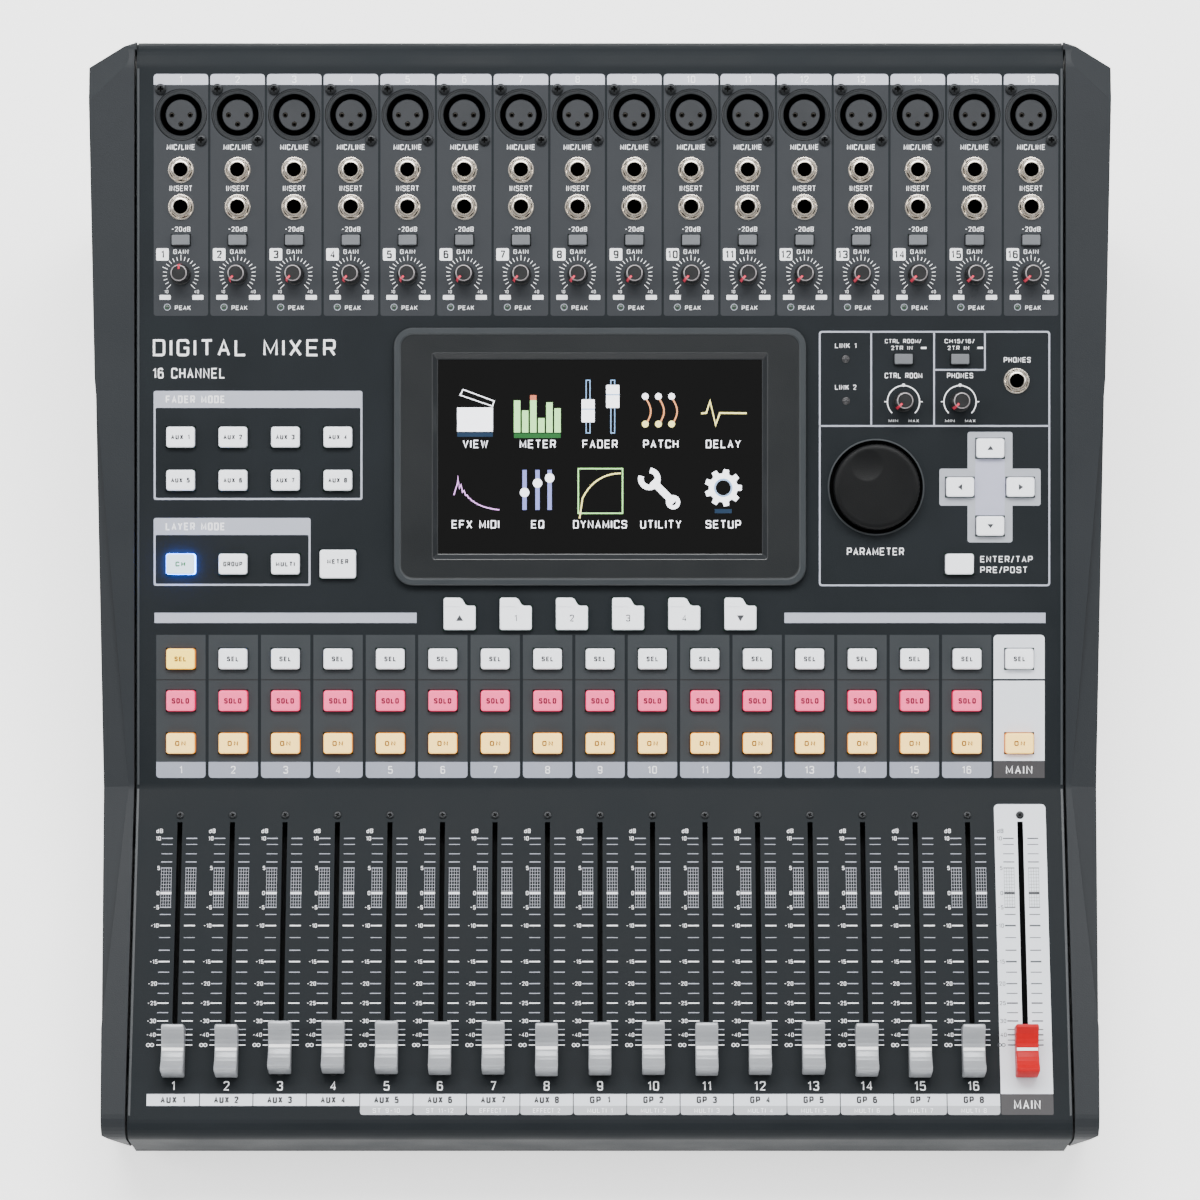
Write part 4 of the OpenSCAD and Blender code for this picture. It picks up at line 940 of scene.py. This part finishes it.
# ---- lamps
lamps = Part("lamps", angle=60)
for i in range(CHANNELS):
    at = main(inp(i) - PEAK_SIDE, PEAK_V)
    lathe(lamps, [(1.1, -1.0), (1.05, 0.1), (0.8, 0.32), (0.4, 0.42), (0, 0.42)], at, LENS, 20)
    path(lamps, circle(0, 0, 1.45, 20), 0.3, TAB, at, H2, closed=True)
for u, v in ((115.6, 201.3), (115.8, 181.6)):
    lathe(lamps, [(1.9, 0.02), (1.85, 0.25), (1.4, 0.4), (1.3, 0.3), (1.2, 0.45), (0.6, 0.7), (0, 0.7)],
          main(u, v), LENS, 24)
lamps.make(slot="socket_plastic")


# ---- knobs
def knob(name, body, u, v, angle):
    k = Part(name, body, 40)
    at = main(u, v, -angle)
    n, flutes, foot, shaft_r = 64, 16, 0.95, 3

    def fluted(r, z, deep=0.0):
        return ring_round(lambda j: r - deep * (0.5 + 0.5 * cos(flutes * 2 * pi * j / n)), z, n)
    rings = [fluted(4.8, foot), fluted(4.8, 1.9), fluted(4.45, 2.3, 0.1), fluted(4.25, 3.4, 0.25),
             fluted(3.95, 11.2, 0.22), fluted(3.9, 11.6, 0.05), fluted(3.7, 12.1), fluted(3.3, 12.3),
             fluted(3.1, 12.0)]
    # the two bands round the top edge take the light grey, a painted highlight
    loft(k, rings, at, KNOB, (False, True), [KNOB] * 5 + [KNOB_TOP_HIGHLIGHT, KNOB_TOP_HIGHLIGHT, KNOB])
    # the pointer runs over the top and down the grip: half width, distance out and height along it
    stripe = ((0.45, 1.9, 12.05), (0.5, 3.1, 12.08), (0.55, 3.75, 12.35), (0.6, 4.05, 11.2), (0.7, 4.85, 2.2))
    pts = [(side * w, y, z) for w, y, z in stripe for side in (-1, 1)]
    k.add(pts, [[j, j + 1, j + 3, j + 2] for j in (0, 2, 4, 6)], POINTER, at)
    lathe(k, [(0, -6.9), (shaft_r, -6.9), (shaft_r, foot)], at, STEM, 24)
    lathe(k, [(shaft_r, foot), (4.8, foot)], at, KNOB, n)
    k.make(body, slot="knob_plastic")


LEAST = -135    # degrees from straight up
for i in range(CHANNELS):
    knob(f"gain_knob_cap_{i + 1}", f"gain_knob_{i + 1}", inp(i), GAIN_V, 0 if i == 0 else LEAST)
knob("control_room_cap", "control_room_knob", CTRL_U, LEVEL_V, LEAST)
knob("phones_cap", "phones_knob", HEADPHONE_U, LEVEL_V, LEAST)

# parameter wheel: a turned disc with a knurled edge and a finger dimple
wheel = Part("parameter_wheel_disc", "parameter_wheel", 45)
at = main(WHEEL_U, WHEEL_V)
WHEEL_POINTS, WHEEL_TOP = 120, 7.4
DIMPLE_X, DIMPLE_Y, DIMPLE_R, DIMPLE_DEEP = -4.6, 10.1, 7.4, 0.9


def wheel_ring(r, z, knurl=0.0):
    out = []
    for x, y, _ in ring_round(lambda j: r - (knurl if j % 2 else 0), z, WHEEL_POINTS):
        dip = max(0.0, 1 - (hypot(x - DIMPLE_X, y - DIMPLE_Y) / DIMPLE_R) ** 2)
        out.append((x, y, z - (DIMPLE_DEEP * dip if z >= WHEEL_TOP else 0)))
    return out


rings = [wheel_ring(*ring) for ring in ((20.2, -3.9), (20.2, 0.5), (20.25, 1.2, 0.3), (20.25, 6.2, 0.3),
                                        (20.0, 6.5), (19.5, 6.95), (18.9, 7.2))]
rings += [wheel_ring(18.0 - 0.6 * k, WHEEL_TOP) for k in range(30)]
loft(wheel, rings, at, WHEEL, (True, True))
lathe(wheel, [(0, -8.9), (3, -8.9), (3, -3.9)], at, STEM, 24)
wheel.make("parameter_wheel", slot="wheel_plastic")
well = Part("wheel_recess", angle=40)
WELL_R, WELL_FLOOR = 21.9, -5.5
# the lip round the recess takes the lighter greys, a painted highlight; its wall and floor take the near-black
# bore colour, painted shade in the recess
lathe(well, [(22.8, 0.03), (22.6, 0.35), (22.1, 0.4), (WELL_R, 0.1), (WELL_R, WELL_FLOOR)], at, RAISED_RIM_HIGHLIGHT, 96,
      [EDGE_LIP_HIGHLIGHT, EDGE_LIP_HIGHLIGHT, RAISED_RIM_HIGHLIGHT, BORE_BLACK_AND_SHADE])
lathe(well, [(WELL_R, WELL_FLOOR), (8, WELL_FLOOR)], at, BORE_BLACK_AND_SHADE, 96)
well.make(slot="socket_plastic")

# ---- fader caps
CAP_DIP, CAP_H, CAP_HALF_W = 3.8, 12.4, 5.2


def cap_profile():
    """Outline of the cap's top, from the rear end to the front end, with grip ridges, as (y, z)."""
    half, dish_half, h = 11.9, 9.6, CAP_H
    r = (dish_half ** 2 + CAP_DIP ** 2) / (2 * CAP_DIP)
    pts = [(half, 1.1), (half - 0.1, 4.0), (11.2, h - 0.8), (10.8, h - 0.15), (10.3, h)]
    for k in range(49):
        y = dish_half * (1 - k / 24)
        z = h - CAP_DIP + r - sqrt(r * r - y * y)
        groove = 0.09 * max(0.0, sin(y * 2 * pi / 2.1)) if 1.6 < abs(y) < 9 else 0
        pts.append((y, z - groove))
    return pts + [(-y, z) for y, z in reversed(pts[:5])]


def fader_cap(i):
    is_main = i == 16
    name = "main_fader" if is_main else f"fader_{i + 1}"
    p = Part(name + "_cap", name, 28)
    at = fad(col(i), FADER_LOW - REST[i])
    prof, w = cap_profile(), CAP_HALF_W

    def section(x, inset):
        return [(x, y * (1 - inset * 0.045), z - inset * 0.42 if z > 3 else z) for y, z in prof]
    slices = [section(-w, 1.0), section(-w + 0.22, 0.35), section(-w + 0.55, 0), section(w - 0.55, 0),
              section(w - 0.22, 0.35), section(w, 1.0)]
    n = len(prof)
    pts = [q for s in slices for q in s]
    faces = [[j * n + k, (j + 1) * n + k, (j + 1) * n + k + 1, j * n + k + 1]
             for j in range(5) for k in range(n - 1)]
    faces += [list(range(n)), [5 * n + k for k in range(n)][::-1]]
    faces += [[j * n + n - 1, (j + 1) * n + n - 1, (j + 1) * n, j * n] for j in range(5)]
    p.add(pts, faces, RED if is_main else CAP, at)
    z0 = CAP_H - CAP_DIP    # the line across lies at the bottom of the dish
    line(p, -w + 0.35, 0, w - 0.35, 0, 1.4, CAP_LINE, at, z0 + 0.09)
    for s in (-1, 1):
        (x0, low), (x1, high) = (s * (w + 0.02), z0 - 1.0), (s * (w - 0.35), z0 + 0.06)
        p.add([(x0, -0.55, low), (x0, 0.55, low), (x1, 0.55, high), (x1, -0.55, high)],
              [[0, 1, 2, 3] if s > 0 else [3, 2, 1, 0]], CAP_LINE, at)
    box_mm(p, 1.2, 5, -9, 1.3, at, STEM)
    box_mm(p, 6.4, 9, -10.1, -8.9, at, SOCKET)
    p.make(name, slot="main_cap" if is_main else "fader_cap")


for i in range(CHANNELS + 1):
    fader_cap(i)

# ---- rear printing
back = Part("rear_printing")
for x, s in zip(REAR_XLR, ("MAIN L", "MAIN R")):
    write(back, s, rear(x, 108), 3, WHITE)
for x, s in zip(REAR_JACKS, [f"OUT {i + 1}" for i in range(8)] + ["2TR L", "2TR R"]):
    write(back, s, rear(x, 100), 2.4, WHITE)
for s, z in (("POWER", 101), ("AC IN", 34)):
    write(back, s, rear(POWER_X, z), 3, WHITE)
back.make(slot="chassis_paint")

# ---- floor, light and camera
FLOOR_HALF, FLOOR_Z = 6, -0.0002     # metres
paper = bpy.data.meshes.new("floor")
corners = rect(-FLOOR_HALF, -FLOOR_HALF, FLOOR_HALF, FLOOR_HALF)
paper.from_pydata([(x, y, FLOOR_Z) for x, y in corners], [], [[0, 1, 2, 3]])
PAPER = surface("floor", "#fbfbfa", 0.9, vary=0.005, scale=3, glow="#ffffff", glow_strength=1.3)
paper.materials.append(PAPER)
floor = bpy.data.objects.new("floor", paper)
bpy.context.scene.collection.objects.link(floor)


def area(name, loc, aim, size, power, colour=(1, 1, 1)):
    d = bpy.data.lights.new(name, "AREA")
    d.shape, d.size, d.size_y, d.energy, d.color = "RECTANGLE", size[0], size[1], power, colour
    o = bpy.data.objects.new(name, d)
    o.location = loc
    o.rotation_mode = "QUATERNION"
    o.rotation_quaternion = (Vector(aim) - Vector(loc)).to_track_quat("-Z", "Y")
    bpy.context.scene.collection.objects.link(o)


area("key", (0, 0.95, 2.25), (0, 0.05, 0.1), (2.4, 0.9), 105)
area("left", (-1.9, 0.1, 1.7), (0, 0, 0.1), (1.0, 1.4), 26)
area("right", (1.9, 0.1, 1.7), (0, 0, 0.1), (1.0, 1.4), 22)
area("front", (0, -1.9, 0.45), (0, 0, 0.05), (2.6, 0.5), 16)
world = bpy.data.worlds.new("studio")
world.use_nodes = True
sky = world.node_tree.nodes["Background"]
sky.inputs["Color"].default_value = (1, 1, 1, 1)
sky.inputs["Strength"].default_value = 0.42
bpy.context.scene.world = world

cam = bpy.data.cameras.new("camera")
cam.sensor_width, cam.lens, cam.clip_start, cam.clip_end = 36, 138.1, 0.1, 20
camera = bpy.data.objects.new("camera", cam)
VIEW_V, CAMERA_AWAY = 87.9, 2166     # the camera looks straight down on this place of the main deck
aim, eye = main(0, VIEW_V)((0, 0, 0)), main(0, VIEW_V)((0, 0, CAMERA_AWAY))
camera.location = eye
camera.rotation_mode = "QUATERNION"
camera.rotation_quaternion = (aim - eye).to_track_quat("-Z", "Y")
bpy.context.scene.collection.objects.link(camera)
bpy.context.scene.camera = camera
